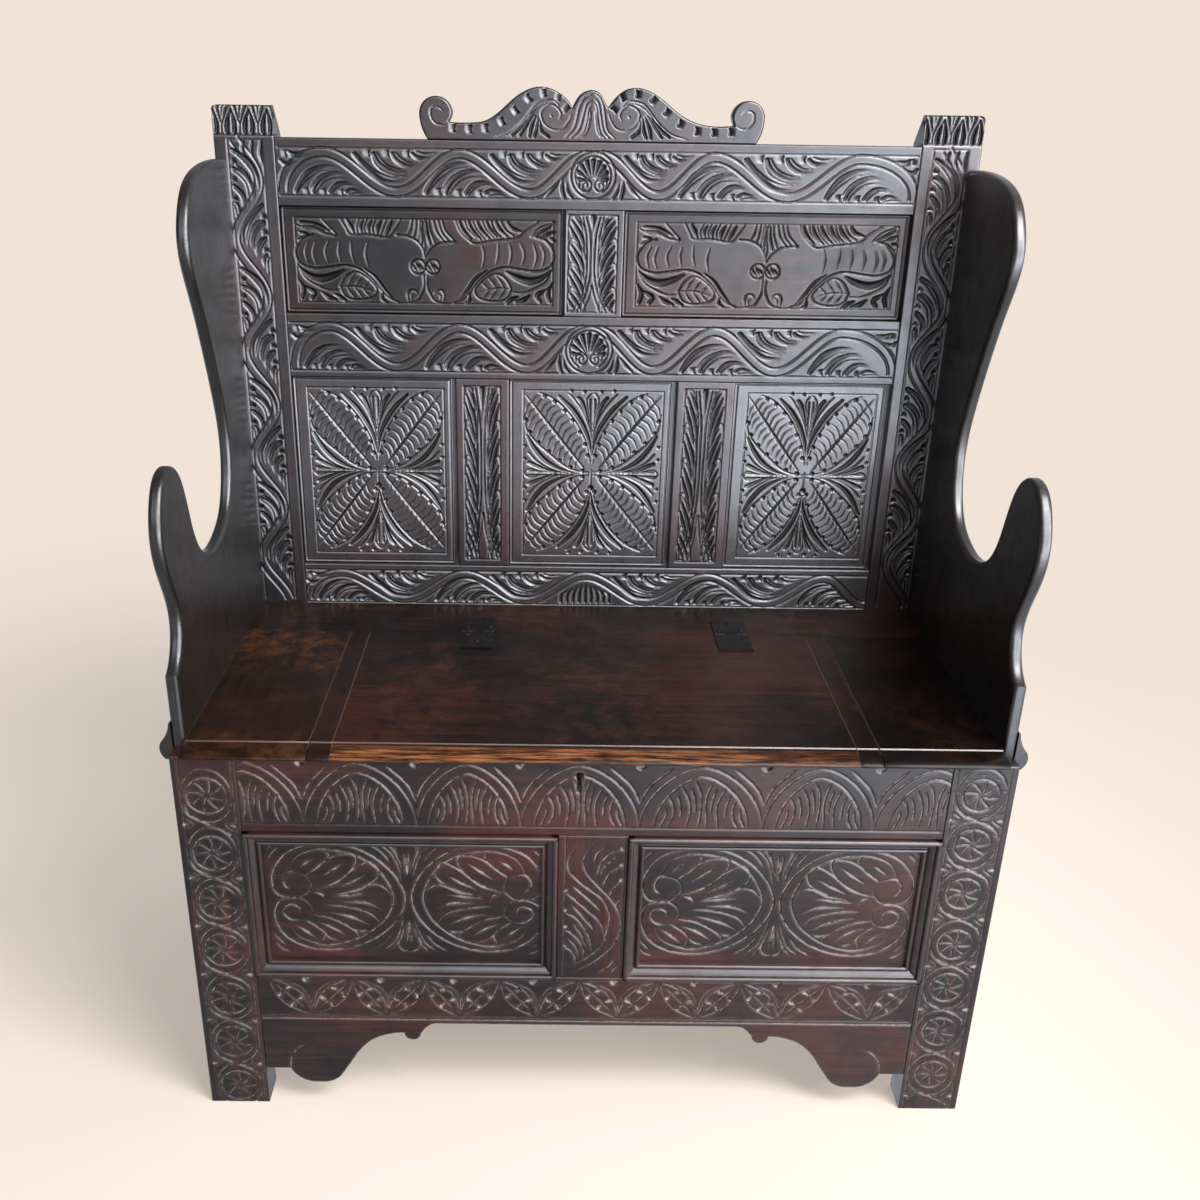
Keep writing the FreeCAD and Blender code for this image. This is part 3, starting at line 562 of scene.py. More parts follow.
def stem_upright(name, node, x0, x1, z0, z1, field, tiers):
    """Leaves in tiers hang from both borders towards a stem that is thinnest in its middle."""
    face = Face(x0, x1, z0, z1, BACK_GRAIN)
    left, right, low, high = field
    framed_field(face, *field, 1.6)
    centre, half, tall = (left + right) / 2, (right - left) / 2, high - low
    pitch = tall / tiers
    for side in (-1, 1):

        def at(points, step=1.6):
            """From places measured inwards from the border and down from the top."""
            inside = [(centre + side * (half - u), high - v)
                      for u, v in smooth(points, step) if 1 < v < tall - 1]
            return np.array(inside).reshape(-1, 2)

        stem = ((half - 9, 3), (half - 4, tall * 0.18), (half - 2.6, tall * 0.36),
                (half - 2.6, tall * 0.58), (half - 8, tall * 0.80), (half - 19, tall - 1.5))
        sheath = ((half - 13, 3), (half - 9, tall * 0.2), (half - 7.5, tall * 0.4),
                  (half - 7.5, tall * 0.6), (half - 13, tall * 0.82), (half - 24, tall - 2))
        foot = ((half - 0.4, tall * 0.72), (half - 3, tall * 0.82), (half - 11, tall - 1.5))
        for points, width, depth in ((stem, 2.8, 3.0), (sheath, 2.4, 2.8), (foot, 2.2, 2.6)):
            face.gouge(at(points), width, depth)
        for index in range(tiers + 1):
            for kind, points, widths in TIER:
                across = half / 31.0
                path = at([(u * across, v * pitch / 31 + (index - 0.06) * pitch) for u, v in points])
                if len(path) < 4:
                    continue
                if kind == "line":
                    face.gouge(path, widths, [1.6, 3.0, 3.0, 1.2])
                else:
                    face.gouge(path, widths, [1.6, 3.4, 3.0, 0.8], "u")
    face.gouge([(centre, high - 3), (centre, high - tall * 0.13)], [9.0, 1.6], [2.6, 1.0], "u")
    return carved_board(name, face, BACK_Y, BACK_Y + RAIL_THICK, node)


def framed_field(face, left, right, low, high, depth=1.4):
    sides = (((left, low), (left, high)), ((right, low), (right, high)),
             ((left, low), (right, low)), ((left, high), (right, high)))
    for a, b in sides:
        face.gouge(smooth([a, b], 4), 2.0, depth)


UPPER_MUNTIN = (-40.0, 36.0)
LOWER_MUNTINS = ((-184.0, -112.0), (115.0, 193.0))
stem_upright("carved_upper_upright", "back_muntin_upper", *UPPER_MUNTIN, 932, 1066,
             (-36.0, 27.5, 938, 1060), 4)
for word, (a, b) in zip(("left", "right"), LOWER_MUNTINS):
    stem_upright("carved_lower_upright_" + word, "back_muntin_lower_" + word, a, b, 580, 848,
                 (a + 11, b - 12, 590, 838), 5)

print("rails, posts and uprights of the back are carved")

# %% [markdown]
# ## Lower back panels
#
# Four long leaves run from the middle to the corners, each with a deep rib, side veins and a row of punch
# marks along both edges. Fans of flutes fill the gaps between them.


# %% Four leaves and four fans
LEAF_TIP = (95.0, 110.0)
LEAF_ABOVE = ((2, 17), (5, 34), (12, 53), (25, 75), (43, 95), (60, 107), (76, 113))
LEAF_BELOW = ((3, 2), (20, 4), (38, 11), (58, 26), (79, 44), (93, 62), (97, 84))
PANEL_FLUTES = (
    (((0.5, 27), (4.5, 50), (14, 70), (28, 90), (47, 108)), (1.5, 5.5, 7.5, 7.5, 4), 3.6),
    (((-0.5, 44), (4, 66), (12.5, 86), (25, 103), (34, 112)), (1.5, 2.8, 3.2, 3.0, 2.0), 3.0),
    (((3.5, 62), (8.5, 84), (15, 100), (20, 106)), (1.5, 4.5, 7.0, 6.0), 3.4),
    (((0, 58), (-5, 84), (-8.5, 102), (-4, 111), (0, 113)), (1.5, 2.4, 2.6, 2.6, 2.0), 3.0),
    (((2.2, 74), (3.4, 90), (3.6, 104)), (1.0, 3.4, 3.6), 2.6),
    (((27, 1.5), (46, 7), (66, 18.5), (81, 35), (92, 54)), (1.5, 5, 7.5, 7, 4), 3.6),
    (((34, 0.5), (56, 5.5), (76, 15.5), (90, 29)), (1.5, 2.8, 3.2, 2.6), 3.0),
    (((44, 1), (64, 5), (80, 11.5), (89, 15)), (1.5, 4.5, 7.0, 6.0), 3.4),
    (((50, 0), (74, -3.5), (88, -6), (94, -3), (96, 0)), (1.5, 2.4, 2.6, 2.6, 2.0), 3.0),
    (((62, 2), (78, 3), (90, 3.4)), (1.0, 3.2, 3.4), 2.6),
)


def veined_leaf(face, place):
    """A leaf that fills the corner between two fans; place turns leaf coordinates into the face's."""
    root = np.array([10.8, 8.1])
    along = np.array(LEAF_TIP) - root
    face.gouge([place(*(root + along * t)) for t in np.linspace(0, 1, 24)],
               [2.0, 3.6, 4.2, 4.0, 3.0, 1.6],
               [1.6, 3.0, 3.2, 3.0, 2.6, 1.0])
    for shape in (LEAF_ABOVE, LEAF_BELOW):
        edge = smooth(shape)
        face.gouge([place(*p) for p in edge], [1.8, 2.6, 2.8, 2.2], [1.4, 2.6, 2.6, 2.0])
        length = len(edge) - 1
        for index in range(12):
            t = 0.10 + 0.80 * index / 11
            end = edge[int(length * min(0.99, 0.18 + 0.80 * index / 11))]
            start = root + along * t
            across = end - start
            middle = start + across * 0.42 + along / np.hypot(*along) * 0.12 * np.hypot(*across)
            path = smooth([start + across * 0.04, middle, start + across * 0.86])
            face.gouge([place(*p) for p in path], [1.9, 2.1, 1.0], [2.0, 1.8, 0.5])
        inward = np.sign(np.cross(along, edge[length // 2] - root))
        for index in range(7):
            at = int(length * (0.08 + 0.86 * index / 6))
            heading = edge[min(at + 1, length)] - edge[max(at - 1, 0)]
            normal = np.array([heading[1], -heading[0]]) / np.hypot(*heading) * inward
            face.dot(*place(*(edge[at] + normal * 1.6)), radius=3.4, depth=3.2)


def tongue_of(node, frame_face):
    """A panel's thin edge, which sits in the grooves of the frame."""
    (x0, x1), (z0, z1) = span(node, 0), span(node, 2)
    return (x0, frame_face + 12.4, z0), (x1, frame_face + 19.6, z1)


def leaf_panel(name, node, x0, x1, z0, z1):
    face = Face(x0, x1, z0, z1, BACK_GRAIN * 0.84)
    left, right, low, high = x0 + 19, x1 - 12, z0 + 15, z1 - 15
    framed_field(face, left, right, low, high)
    framed_field(face, x0 + 3.4, x1 - 3.4, z0 + 3.4, z1 - 3.4, 2.2)
    cx, cz = (left + right) / 2 - 1, (low + high) / 2 + 2
    wide, tall = (right - left) / 2, (high - low) / 2
    for sx in (-1, 1):
        for sz in (-1, 1):

            def place(u, v):
                return cx + sx * u * wide / 98.5, cz + sz * v * tall / 118

            veined_leaf(face, place)
            for points, widths, depth in PANEL_FLUTES:
                path = [place(*p) for p in smooth(points)]
                form = "u" if max(widths) > 3.3 else "v"
                face.gouge(path, widths, [depth * 0.4] + [depth] * 4 + [depth * 0.7], form)
            for u, v in ((95.5, 21), (95.5, 39), (12, 115), (30, 116)):
                face.dot(*place(u, v), radius=2.6, depth=2.8)
    face.gouge([(cx, cz - 19), (cx, cz + 6)], [2.2, 1.4], [2.4, 1.2])
    face.dot(cx, cz - 21, radius=4.4, depth=3.4)
    return carved_board(name, face, BACK_Y + PANEL_SET_BACK, BACK_Y + 22, node,
                        tongue=tongue_of(node, BACK_Y))


LOWER = (("left", -BACK_IN, -184.0), ("centre", -112.0, 115.0), ("right", 193.0, BACK_IN))
for word, a, b in LOWER:
    leaf_panel("carved_lower_panel_" + word, "back_panel_lower_" + word, a + 0.5, b - 5.0, 580.5, 847.5)

# %% [markdown]
# ## Upper back panels
#
# Each is drawn in halves that mirror each other up to the curls: a fat rounded body with ribs at its outer
# end, a leaf under it in the lower corner, and a round flower over a hook in the middle. Above the bodies the
# two halves differ, so the strokes there are given for each side.


# %% Rounded bodies, ribs and corner leaves
BODY = (
    (144, 1031), (156, 1027), (165, 1016), (167.5, 1007.5), (165, 998.7), (158.8, 992.5), (143.8, 988.7),
    (126, 990.5), (106, 993), (91, 990.5), (78.8, 983.7), (67.5, 973.7), (58.8, 962.5), (48.8, 952.5),
    (36, 946.7),
)
RIBS = (
    ((150, 1022), (155, 1010), (152, 994)), ((141, 1022), (145, 1007), (141, 993)),
    ((124, 1023), (129, 1010), (126, 996)), ((110, 1022), (112, 1010), (109, 996)),
    ((95, 1023), (95, 1010), (92, 997)), ((74, 1021), (77, 1007), (74, 992)),
)
CORNER_LEAF = (
    (112, 966), (104, 979), (92, 985), (81, 981), (71, 973), (64, 963), (69, 954), (82, 950), (97, 950),
    (107, 955), (112, 966),
)
LEAF_VEINS = (
    ((110, 966), (90, 966), (67, 960)), ((92, 983), (98, 975), (103, 967)),
    ((82, 980), (88, 973), (93, 966)), ((73, 974), (78, 969), (83, 965)),
    ((103, 965), (98, 957), (92, 951)), ((93, 965), (87, 957), (82, 951)),
    ((83, 964), (78, 958), (73, 954)),
)
TOP_LINES = {
    -1: (
        ((132, 1050.5), (123, 1041), (114, 1031), (128, 1032.5), (140.5, 1037), (153, 1038), (165, 1043)),
        ((107.5, 1050.5), (100.5, 1039), (95.5, 1032), (73, 1032), (48, 1029), (38, 1039.5),
         (30.5, 1050.5)),
        ((84, 1050), (87, 1041), (86, 1033)), ((74, 1050), (77.5, 1040.5), (76, 1032.5)),
        ((63, 1050), (67, 1040), (65.5, 1032)), ((49, 1050), (53, 1040), (57.5, 1030.5)),
        ((15.5, 1050.5), (17.5, 1040), (23, 1030.5)), ((10.5, 1050.5), (11.5, 1037.5), (15, 1028)),
        ((5, 1050.5), (6, 1036), (8.5, 1024)), ((0, 1050.5), (0, 1032), (0, 1012)),
    ),
    1: (
        ((137, 1032.5), (148, 1042.5), (168, 1050.5)),
        ((137, 1032.5), (152, 1030), (164.5, 1021), (167, 1010)),
        ((40.5, 1050), (46, 1037.5), (54.5, 1029), (65.5, 1022.5), (85, 1026), (117, 1030),
         (129.5, 1039.5), (147, 1050.5)),
        ((52, 1050), (56.5, 1039.5), (67, 1029.5)), ((62.5, 1049), (67.5, 1039.5), (77.5, 1028.5)),
        ((74.5, 1050), (80, 1039.5), (89.5, 1030)), ((86, 1050), (90, 1039.5), (97.5, 1031)),
        ((98, 1050.5), (105, 1039.5), (115, 1032.5)), ((6, 1050.5), (7.5, 1037.5), (13, 1022.5)),
        ((11.5, 1050.5), (16.5, 1035), (25, 1024.5)), ((17.5, 1050.5), (23, 1035), (31.5, 1024.5)),
        ((23, 1050.5), (27.5, 1037.5), (39.5, 1024.5)),
    ),
}
TOP_SCOOPS = {
    -1: (
        ((160, 1046), (141, 1044), (123, 1036)), ((157, 1041), (143, 1040), (130, 1036)),
        ((160, 1033), (152, 1031), (163, 1024)), ((99, 1049), (94, 1041), (91, 1034)),
        ((79, 1048), (82, 1041), (81, 1034)), ((68, 1048), (72, 1040), (71, 1033)),
        ((56, 1048), (60, 1040), (61, 1032)), ((42, 1048), (46, 1040), (51, 1031)),
        ((2.5, 1048), (3, 1034), (3.5, 1020)),
    ),
    1: (
        ((163, 1046), (152, 1039), (141, 1032.5)), ((167, 1038), (159, 1035.5), (150, 1031.5)),
        ((168, 1027), (162, 1030)), ((45, 1049), (50, 1039), (60, 1028)),
        ((57, 1049), (62, 1039), (72, 1028.5)), ((68, 1049), (73, 1040), (83, 1029.5)),
        ((80, 1049), (85, 1040), (93, 1031.5)), ((92, 1049), (97, 1041), (106, 1032)),
        ((107, 1049), (113, 1042), (124, 1038)), ((2.5, 1048), (3.5, 1034), (7, 1020)),
    ),
}
BODY_START = {
    -1: ((0, 1004), (2.5, 1015), (10.5, 1025), (23, 1030.5), (36, 1032)),
    1: ((0, 1004), (2.5, 1009), (8.5, 1016), (19.5, 1022.5), (39.5, 1024.5)),
}
HALF_STROKES = (
    (BODY, (3.0, 3.4, 3.4, 3.2), (2.6, 3.0, 3.0, 2.4), "v"),
    *((rib, (1.6, 2.8, 1.4), (1.0, 1.9, 0.8), "v") for rib in RIBS),
    (((164, 990), (152, 980), (136, 976), (120, 980), (106, 987)), (3, 9, 12, 10, 4),
     (2.4, 3.4, 3.6, 3.4, 1.6), "u"),
    (((167, 1000), (158, 978), (142, 967), (126, 961), (112, 962)), (2.0, 3.2, 3.0, 2.0),
     (1.6, 2.8, 2.8, 1.8), "v"),
    *((points, (3, 7.5, 5), (2.2, 3.4, 2.6), "u") for points in (
        ((160, 966), (146, 958), (150, 950)), ((166, 974), (160, 962), (163, 950)),
        ((136, 958), (128, 952), (118, 949)), ((120, 956), (112, 952), (106, 948)))),
    (CORNER_LEAF, 3.0, 2.6, "v"),
    *((vein, (1.6, 2.6, 1.4), (1.2, 2.2, 1.0), "v") for vein in LEAF_VEINS),
    (((80, 989), (66, 979), (54, 963), (44, 951)), (2.5, 5.5, 5.5, 2.5), (1.6, 3.0, 3.0, 1.6), "u"),
    (((57, 958), (57, 950), (52, 947)), (3, 5, 3), (2.0, 3.2, 2.0), "u"),
    (((2.4, 982), (2.0, 968), (6, 957), (12, 949), (24, 946.5)), (2.4, 3.4, 3.4, 2.0),
     (1.8, 2.8, 2.8, 1.4), "v"),
    (((23, 950), (24, 958), (20, 963), (14, 962), (11, 958)), (2.0, 3.4, 3.4, 2.0), (1.6, 2.6, 2.6, 1.4),
     "v"),
    (((19, 950), (19, 956), (14, 958)), (1.6, 2.4, 1.6), (1.2, 2.0, 1.0), "v"),
)


def upper_half(face, cx, side):
    """One half of an upper panel, drawn from its middle outwards."""
    tops = [(BODY_START[side], (2.4, 3.2, 3.2), (2.0, 2.8, 2.8), "v")]
    tops += [(points, (2.2, 3.2, 2.4), (2.0, 2.8, 2.0), "v") for points in TOP_LINES[side]]
    tops += [(points, (4.0, 6.4, 3.6), (2.0, 2.8, 1.6), "u") for points in TOP_SCOOPS[side]]
    for points, widths, depths, form in (*HALF_STROKES, *tops):
        face.gouge(smooth([(cx + side * x, z) for x, z in points], 1.6), widths, depths, form)
    flower = cx + side * 9.6
    face.gouge(ring(flower, 992.5, 9.2), 3.0, 2.8)
    for shift in (-4.6, 0.0, 4.6):
        middle = cx + side * (9.6 + shift)
        cut = [(middle - 3.4, 998 - abs(shift) * 0.5), (middle + 3.4, 987)]
        face.gouge(smooth(cut), (1.6, 4.4, 1.6), (1.4, 3.2, 1.4), "u")


def upper_panel(name, node, x0, x1):
    face = Face(x0, x1, 932.5, 1065.5, BACK_GRAIN)
    left, right = x0 + 17, x1 - 13
    framed_field(face, x0 + 3.4, x1 - 3.4, 936, 1062, 2.2)
    framed_field(face, left, right, 945.5, 1051.5, 1.6)
    cx = (left + right) / 2
    for side in (-1, 1):
        upper_half(face, cx, side)
    return carved_board(name, face, BACK_Y + PANEL_SET_BACK, BACK_Y + 22, node,
                        tongue=tongue_of(node, BACK_Y))


upper_panel("carved_upper_panel_left", "back_panel_upper_left", -BACK_IN + 0.5, -42.0)
upper_panel("carved_upper_panel_right", "back_panel_upper_right", 36.5, BACK_IN - 2.0)

# %% [markdown]
# ## The chest's front
#
# Here the carver only drew with the V tool on flat wood. The top rail has an arcade of nested arches filled
# with curved strokes, and a keyhole that has to stay open. The stiles have a chain of wheels, the bottom
# rail a row of leaning leaves, and the middle upright an S-shaped ribbon.


# %% Arcade of the top rail
ARCH_STROKES = (
    ((-9, 62.5), (-4, 49), (-2.2, 32), (-4.5, 1.5)),
    ((-22, 54), (-16.4, 40.7), (-13.6, 25), (-16.4, 1.5)),
    ((-35.7, 42), (-30.7, 29), (-31.4, 13.6), (-37, 1.5)),
    ((-12.5, 52), (-9, 38), (-8, 23)),
    ((-27, 43.5), (-23.5, 30.7), (-22.8, 16.4)),
    ((-38, 25.7), (-38.5, 15), (-44, 2)),
)


def arch(cx, half, base, rise):
    """An arch a little more pointed than an ellipse."""
    angle = np.linspace(0, math.pi, 60)
    high = np.sin(angle)
    across = np.sign(np.cos(angle)) * half * (1 - high ** 1.9) ** 0.62
    return np.stack([cx - across, base + rise * high], 1)


def arcade(face, feet, base):
    for a, b in zip(feet, feet[1:]):
        cx, outer = (a + b) / 2, (b - a) / 2
        inner = outer * 0.765
        face.line(arch(cx, outer - 0.5, base, 81), 2.4, 1.6)
        face.line(arch(cx, inner, base, 69), 2.5, 1.7)
        for side in (-1, 1):
            between = [(cx + side * outer * u, base + v) for u, v in ((1.0, 33), (0.85, 55), (0.5, 79))]
            face.line(smooth(between), 2.4, 1.6)
            for stroke in ARCH_STROKES:
                path = [(cx + 1.5 + side * u * inner / 48.6, base + v) for u, v in stroke]
                face.line(smooth(path), 2.2, 1.5)


ARCADE_FEET = (-464.0, -333.0, -203.0, -83.0, 53.0, 195.0, 324.0, 456.0)
FRONT_TOP = span("front_stile_left", 2)[1]


def thumb_cut(face, x, z, wide=9.0, tall=6.0):
    """A short scoop under a margin, as the gouge leaves when it is rolled in and out."""
    path = [(x - wide * 0.35, z - 1), (x, z - tall * 0.6), (x + wide * 0.35, z - 1)]
    face.gouge(smooth(path, 1), tall, 2.4, "u")


top_rail = Face(-FRONT_IN, FRONT_IN, 410, FRONT_TOP, FINE)
arcade(top_rail, ARCADE_FEET, 422)
top_rail.cut[top_rail.z < 421] = 0
top_rail.gouge([(x, 421.5) for x in np.linspace(-402, 402, 60)], 2.2, 1.4)
for foot in ARCADE_FEET[1:-1]:
    thumb_cut(top_rail, foot, 505)


# %% [markdown]
# The keyhole goes right through the rail. In the height field it is a straight-sided pit down to the lock
# plate, 26 mm high, with a round eye at its top.

# %% Keyhole pit
def keyhole_pit(face, x, z):
    face.gouge([(x, z), (x, z + 0.01)], 9.0, 24, "flat")
    face.gouge([(x, z), (x, z - 20)], 5.0, 24, "flat")


keyhole_pit(top_rail, -17, 490)
carved_board("carved_front_top_rail", top_rail, FRONT_Y, FRONT_Y + RAIL_THICK, "front_top_rail")


# %% Leaning leaves of the bottom rail
LEAN_TOPS = (-392.0, -288.0, -198.5, -109.0, -10.0, 88.0, 188.0, 294.0, 398.0)
LEAN_FEET = (-340.0, -248.0, -158.7, -61.0, 38.0, 137.0, 238.0, 350.0)


def leaning_leaf(face, foot, tip, low, high):
    a, b = np.array([foot, low]), np.array([tip, high])
    along = b - a
    across = np.array([-along[1], along[0]]) / np.hypot(*along)
    outer = -1 if tip > foot else 1

    def bulged(t, reach):
        return a + along * t + across * reach * math.sin(math.pi * t)

    for side in (-1, 1):
        face.line(smooth([bulged(t, side * 13.0) for t in (0, 0.2, 0.4, 0.6, 0.8, 1)]), 2.2, 1.5)
    face.line(smooth([bulged(t, -outer * (13 + 6.5 * min(1, 3 * (1 - t)))) for t in
                      (0.02, 0.2, 0.4, 0.6, 0.8, 0.95)]), 2.0, 1.3)
    face.line(smooth([a + along * t for t in (0.16, 0.5, 0.88)]), 2.0, 1.5)
    for t in (0.32, 0.60):
        for side in (-1, 1):
            root = a + along * (t + 0.06)
            tip_point = root + across * side * 9.0 - along * 0.02
            face.gouge([tip_point, root + across * side * 1.5], [6.2, 1.2], [2.6, 1.0], "u")


bottom_rail = Face(-FRONT_IN, FRONT_IN, 138, 205, FINE)
for z in (142.5, 201.0):
    bottom_rail.gouge([(x, z) for x in np.linspace(-402, 402, 60)], 2.0, 1.3)
for index, foot in enumerate(LEAN_FEET):
    for tip in LEAN_TOPS[index:index + 2]:
        leaning_leaf(bottom_rail, foot, tip, 144, 200)
for foot in LEAN_FEET:
    thumb_cut(bottom_rail, foot - 6, 200, 8, 6)
carved_board("carved_front_bottom_rail", bottom_rail, FRONT_Y, FRONT_Y + RAIL_THICK, "front_bottom_rail")


# %% Chains of wheels on the front stiles
def wheel(face, x, z, rim, dots, turn):
    face.line(ring(x, z, rim), 2.4, 1.7)
    for index in range(8):
        angle = math.radians(turn + 45 * index)
        sweep = math.radians(26)
        points = [(x + r * rim * math.cos(angle + sweep * r), z + r * rim * math.sin(angle + sweep * r))
                  for r in (0.05, 0.35, 0.7, 0.96)]
        face.line(smooth(points, 1.5), 2.0, 1.5)
    if dots:
        for index in range(9):
            angle = math.radians(turn + 40 * index)
            face.dot(x + (rim + 6) * math.cos(angle), z + (rim + 6) * math.sin(angle), 1.0, 1.0)


def wheel_stile(name, node, side, centres, rim, dots):
    x0, x1 = span(node, 0)
    low, high = span(node, 2)
    face = Face(x0, x1, low, high, FINE)
    left, right = sorted((side * 411.5, side * 472.5))
    for x in (left, right):
        face.gouge([(x, z) for z in np.linspace(4, high - 4, 90)], 2.0, 1.3)
    cx = (left + right) / 2
    half = (right - left) / 2
    for index, z in enumerate(centres):
        above = centres[index - 1] if index else z + 74
        below = centres[index + 1] if index + 1 < len(centres) else z - 72
        up, down = (above - z) / 2, (z - below) / 2
        wheel(face, cx, z, rim, dots, 12 + 17 * index)
        for start, end, reach in ((0, 180, up), (180, 360, down)):
            tall = min(reach, half + 6) - 1.0
            face.line(ring(cx, z, half - 1.5, start, end, tall / (half - 1.5)), 2.2, 1.5)
        cross = z - down
        if cross > 12:
            crossing = [(left + 1.5, cross + 25), (left + 9, cross + 12), (cx, cross),
                        (right - 9, cross - 12),
                        (right - 1.5, cross - 25)]
            face.line(smooth(crossing), 2.4, 1.7)
            for way in (-1, 1):
                hook = [(cx + way * (half - 2), cross + 10), (cx + way * (half - 12), cross + 1),
                        (cx + way * (half - 2), cross - 9)]
                face.line(smooth(hook), 1.9, 1.3)
                notch = [(cx + way * (half - 1), cross), (cx + way * (half - 8), cross)]
                face.gouge(notch, [5.0, 1.5], [2.4, 1.0], "u")
    return carved_board(name, face, FRONT_Y, span(node, 1)[1], node)


LEFT_WHEELS = (458, 380, 311, 241, 167, 99, 27)
RIGHT_WHEELS = (471, 404, 336, 262, 197, 128, 58)
wheel_stile("carved_front_stile_left", "front_stile_left", -1, LEFT_WHEELS, 23.5, False)
wheel_stile("carved_front_stile_right", "front_stile_right", 1, RIGHT_WHEELS, 21.0, True)


# %% S-shaped ribbon of the middle upright
UPRIGHT_STROKES = (
    ((-6, 405), (-19, 394), (-27, 377), (-28, 367), (-22, 355), (-6, 339), (12, 324), (20, 308),
     (23, 293), (19, 268), (16, 254), (-2, 235), (-24, 221)),
    ((5, 401), (-6, 387), (-10, 374), (-6, 360), (6, 343), (20, 327), (32, 307), (36, 289), (36, 275),
     (29, 254), (15, 237), (-2, 223), (-23, 213)),
    ((-31, 332), (-23, 325), (-5, 307), (11, 289), (18, 270)),
    ((-31, 303), (-16, 293), (-2, 269), (4, 242)), ((-31, 279), (-19, 269), (-8, 251), (-6, 233)),
    ((-31, 252), (-23, 247), (-17, 235), (-17, 226)), ((-22, 341), (-3, 322), (12, 306)),
    ((-22, 313), (-8, 295), (5, 277)), ((-20, 287), (-10, 269), (-3, 252)),
    ((-26, 266), (-17, 252), (-12, 238)), ((36, 392), (23, 387), (11, 373), (6, 352)),
    ((36, 368), (23, 360), (16, 348), (15, 339)), ((36, 347), (26, 336), (22, 325)),
    ((16, 395), (6, 386), (3, 376)), ((29, 382), (16, 368), (12, 358)), ((36, 322), (30, 312), (34, 302)),
    ((33, 236), (24, 222), (12, 213)), ((35, 222), (28, 214)),
)

upright = Face(-40, 42, 205, 410, FINE)
for x in (-31.5, 38.0):
    upright.gouge([(x, 207), (x, 408)], 2.0, 1.4)
for stroke in UPRIGHT_STROKES:
    upright.line(smooth(stroke), 2.4, 1.6)
for x, z in ((-29, 334), (-29, 305), (-29, 281), (-29, 254), (35, 393), (35, 370), (35, 349)):
    upright.dot(x, z, 3.0, 2.2)
carved_board("carved_front_upright", upright, FRONT_Y, FRONT_Y + RAIL_THICK, "front_muntin")


# %% [markdown]
# Each front panel holds a pair of big rings that curl into two volutes at the outer end. Petals fan out of
# the volutes, and small sprays fill the places where the rings meet. One ring is drawn, and the other is
# its mirror image.

# %% Rings and volutes of the front panels
RING_OUTER = (
    (-131, 35), (-121, 31), (-115, 21), (-116, 11), (-127, 0), (-142, -1), (-155, 4), (-161, 19),
    (-158, 38), (-143, 60), (-120, 72), (-92, 76), (-62, 71), (-36, 56), (-16, 34), (-6, 12), (-4, -2),
    (-8, -20), (-20, -40), (-42, -60), (-70, -73), (-100, -77), (-130, -71), (-152, -54), (-161, -30),
    (-157, -11), (-145, -2.5), (-130, -1), (-119, -9), (-115.5, -19), (-120, -29), (-130, -34),
)
UPPER_EYE = ((-131, 35), (-140, 35), (-145, 29), (-147, 21), (-144, 14), (-139, 12))
LOWER_EYE = (
    (-130, -34), (-142, -32.5), (-149.5, -24), (-147.5, -15), (-139, -11), (-131, -15), (-129.5, -22),
)
RING_INNER = (
    (-141, 36), (-130, 56), (-110, 66), (-92, 67.5), (-62, 61), (-37, 44), (-22, 19), (-17.5, -1),
    (-22, -19), (-32, -36), (-52, -54), (-72, -64), (-97, -70), (-117, -66), (-135, -56), (-144, -38),
)
PETALS = (
    ((-100, 46), (-92, 59), (-95, 65)), ((-120, 31), (-108, 40), (-100, 47)),
    ((-112, 38), (-97, 51), (-80, 60), (-62, 60), (-62, 46), (-75, 29), (-95, 16), (-115, 10)),
    ((-115, 10), (-87, 19), (-62, 41), (-42, 51), (-34, 36), (-40, 24), (-62, 11), (-92, 2)),
    ((-92, 2), (-62, 9), (-42, 19), (-30, 17), (-20, 7)),
    ((-100, -11), (-72, -14), (-47, -22), (-34, -36)), ((-117, -25), (-92, -31), (-67, -47), (-60, -59)),
    ((-126, -32), (-110, -44), (-102, -54), (-107, -67)), ((-104, -51), (-95, -60), (-85, -62)),
    ((-67, -47), (-55, -49), (-49, -46)),
)
MIDRIBS = (
    ((-126, 42), (-118, 49), (-110, 54)), ((-102, 29), (-86, 40), (-72, 51)),
    ((-82, 14), (-64, 23), (-48, 33)), ((-112, 8), (-102, 4), (-99, -2)),
    ((-82, -6), (-52, -7), (-32, -16)), ((-95, -21), (-67, -29), (-45, -40)),
    ((-110, -36), (-92, -44), (-75, -56)), ((-137, -40), (-125, -49), (-111, -61)),
    ((-90, 1), (-70, 3), (-46, 6)),
)
BETWEEN = (
    ((0, 77), (7, 77), (13, 70), (10, 57), (5, 40)), ((3, 66), (2, 50), (0, 32)),
    ((32, 77), (19, 65), (11, 47), (6.5, 28)), ((22, 77), (15, 68), (10, 55)),
    ((46, 77), (31, 67), (20, 52)),
)


def ring_half(face, cx, cz, side):
    def at(points):
        return smooth([(cx + side * -x, cz + z) for x, z in points])

    face.line(at(RING_OUTER), 2.5, 1.8)
    face.line(at(RING_INNER), 2.4, 1.7)
    for eye in (UPPER_EYE, LOWER_EYE):
        face.line(at(eye), 2.4, 1.8)
    for petal in PETALS:
        face.line(at(petal), 2.2, 1.6)
    for midrib in MIDRIBS:
        face.gouge(at(midrib), [1.4, 4.0, 1.4], [0.8, 1.9, 0.6], "u")
    for points in BETWEEN:
        for corner in (1, -1):
            face.line(at([(-x, corner * z) for x, z in points]), 2.2, 1.5)
    for corner in (1, -1):
        face.line(at(((-163, 66 * corner), (-155, 76 * corner), (-145, 80 * corner))), 2.2, 1.5)
        face.line(at(((-164, 52 * corner), (-158, 62 * corner), (-150, 70 * corner))), 2.2, 1.5)


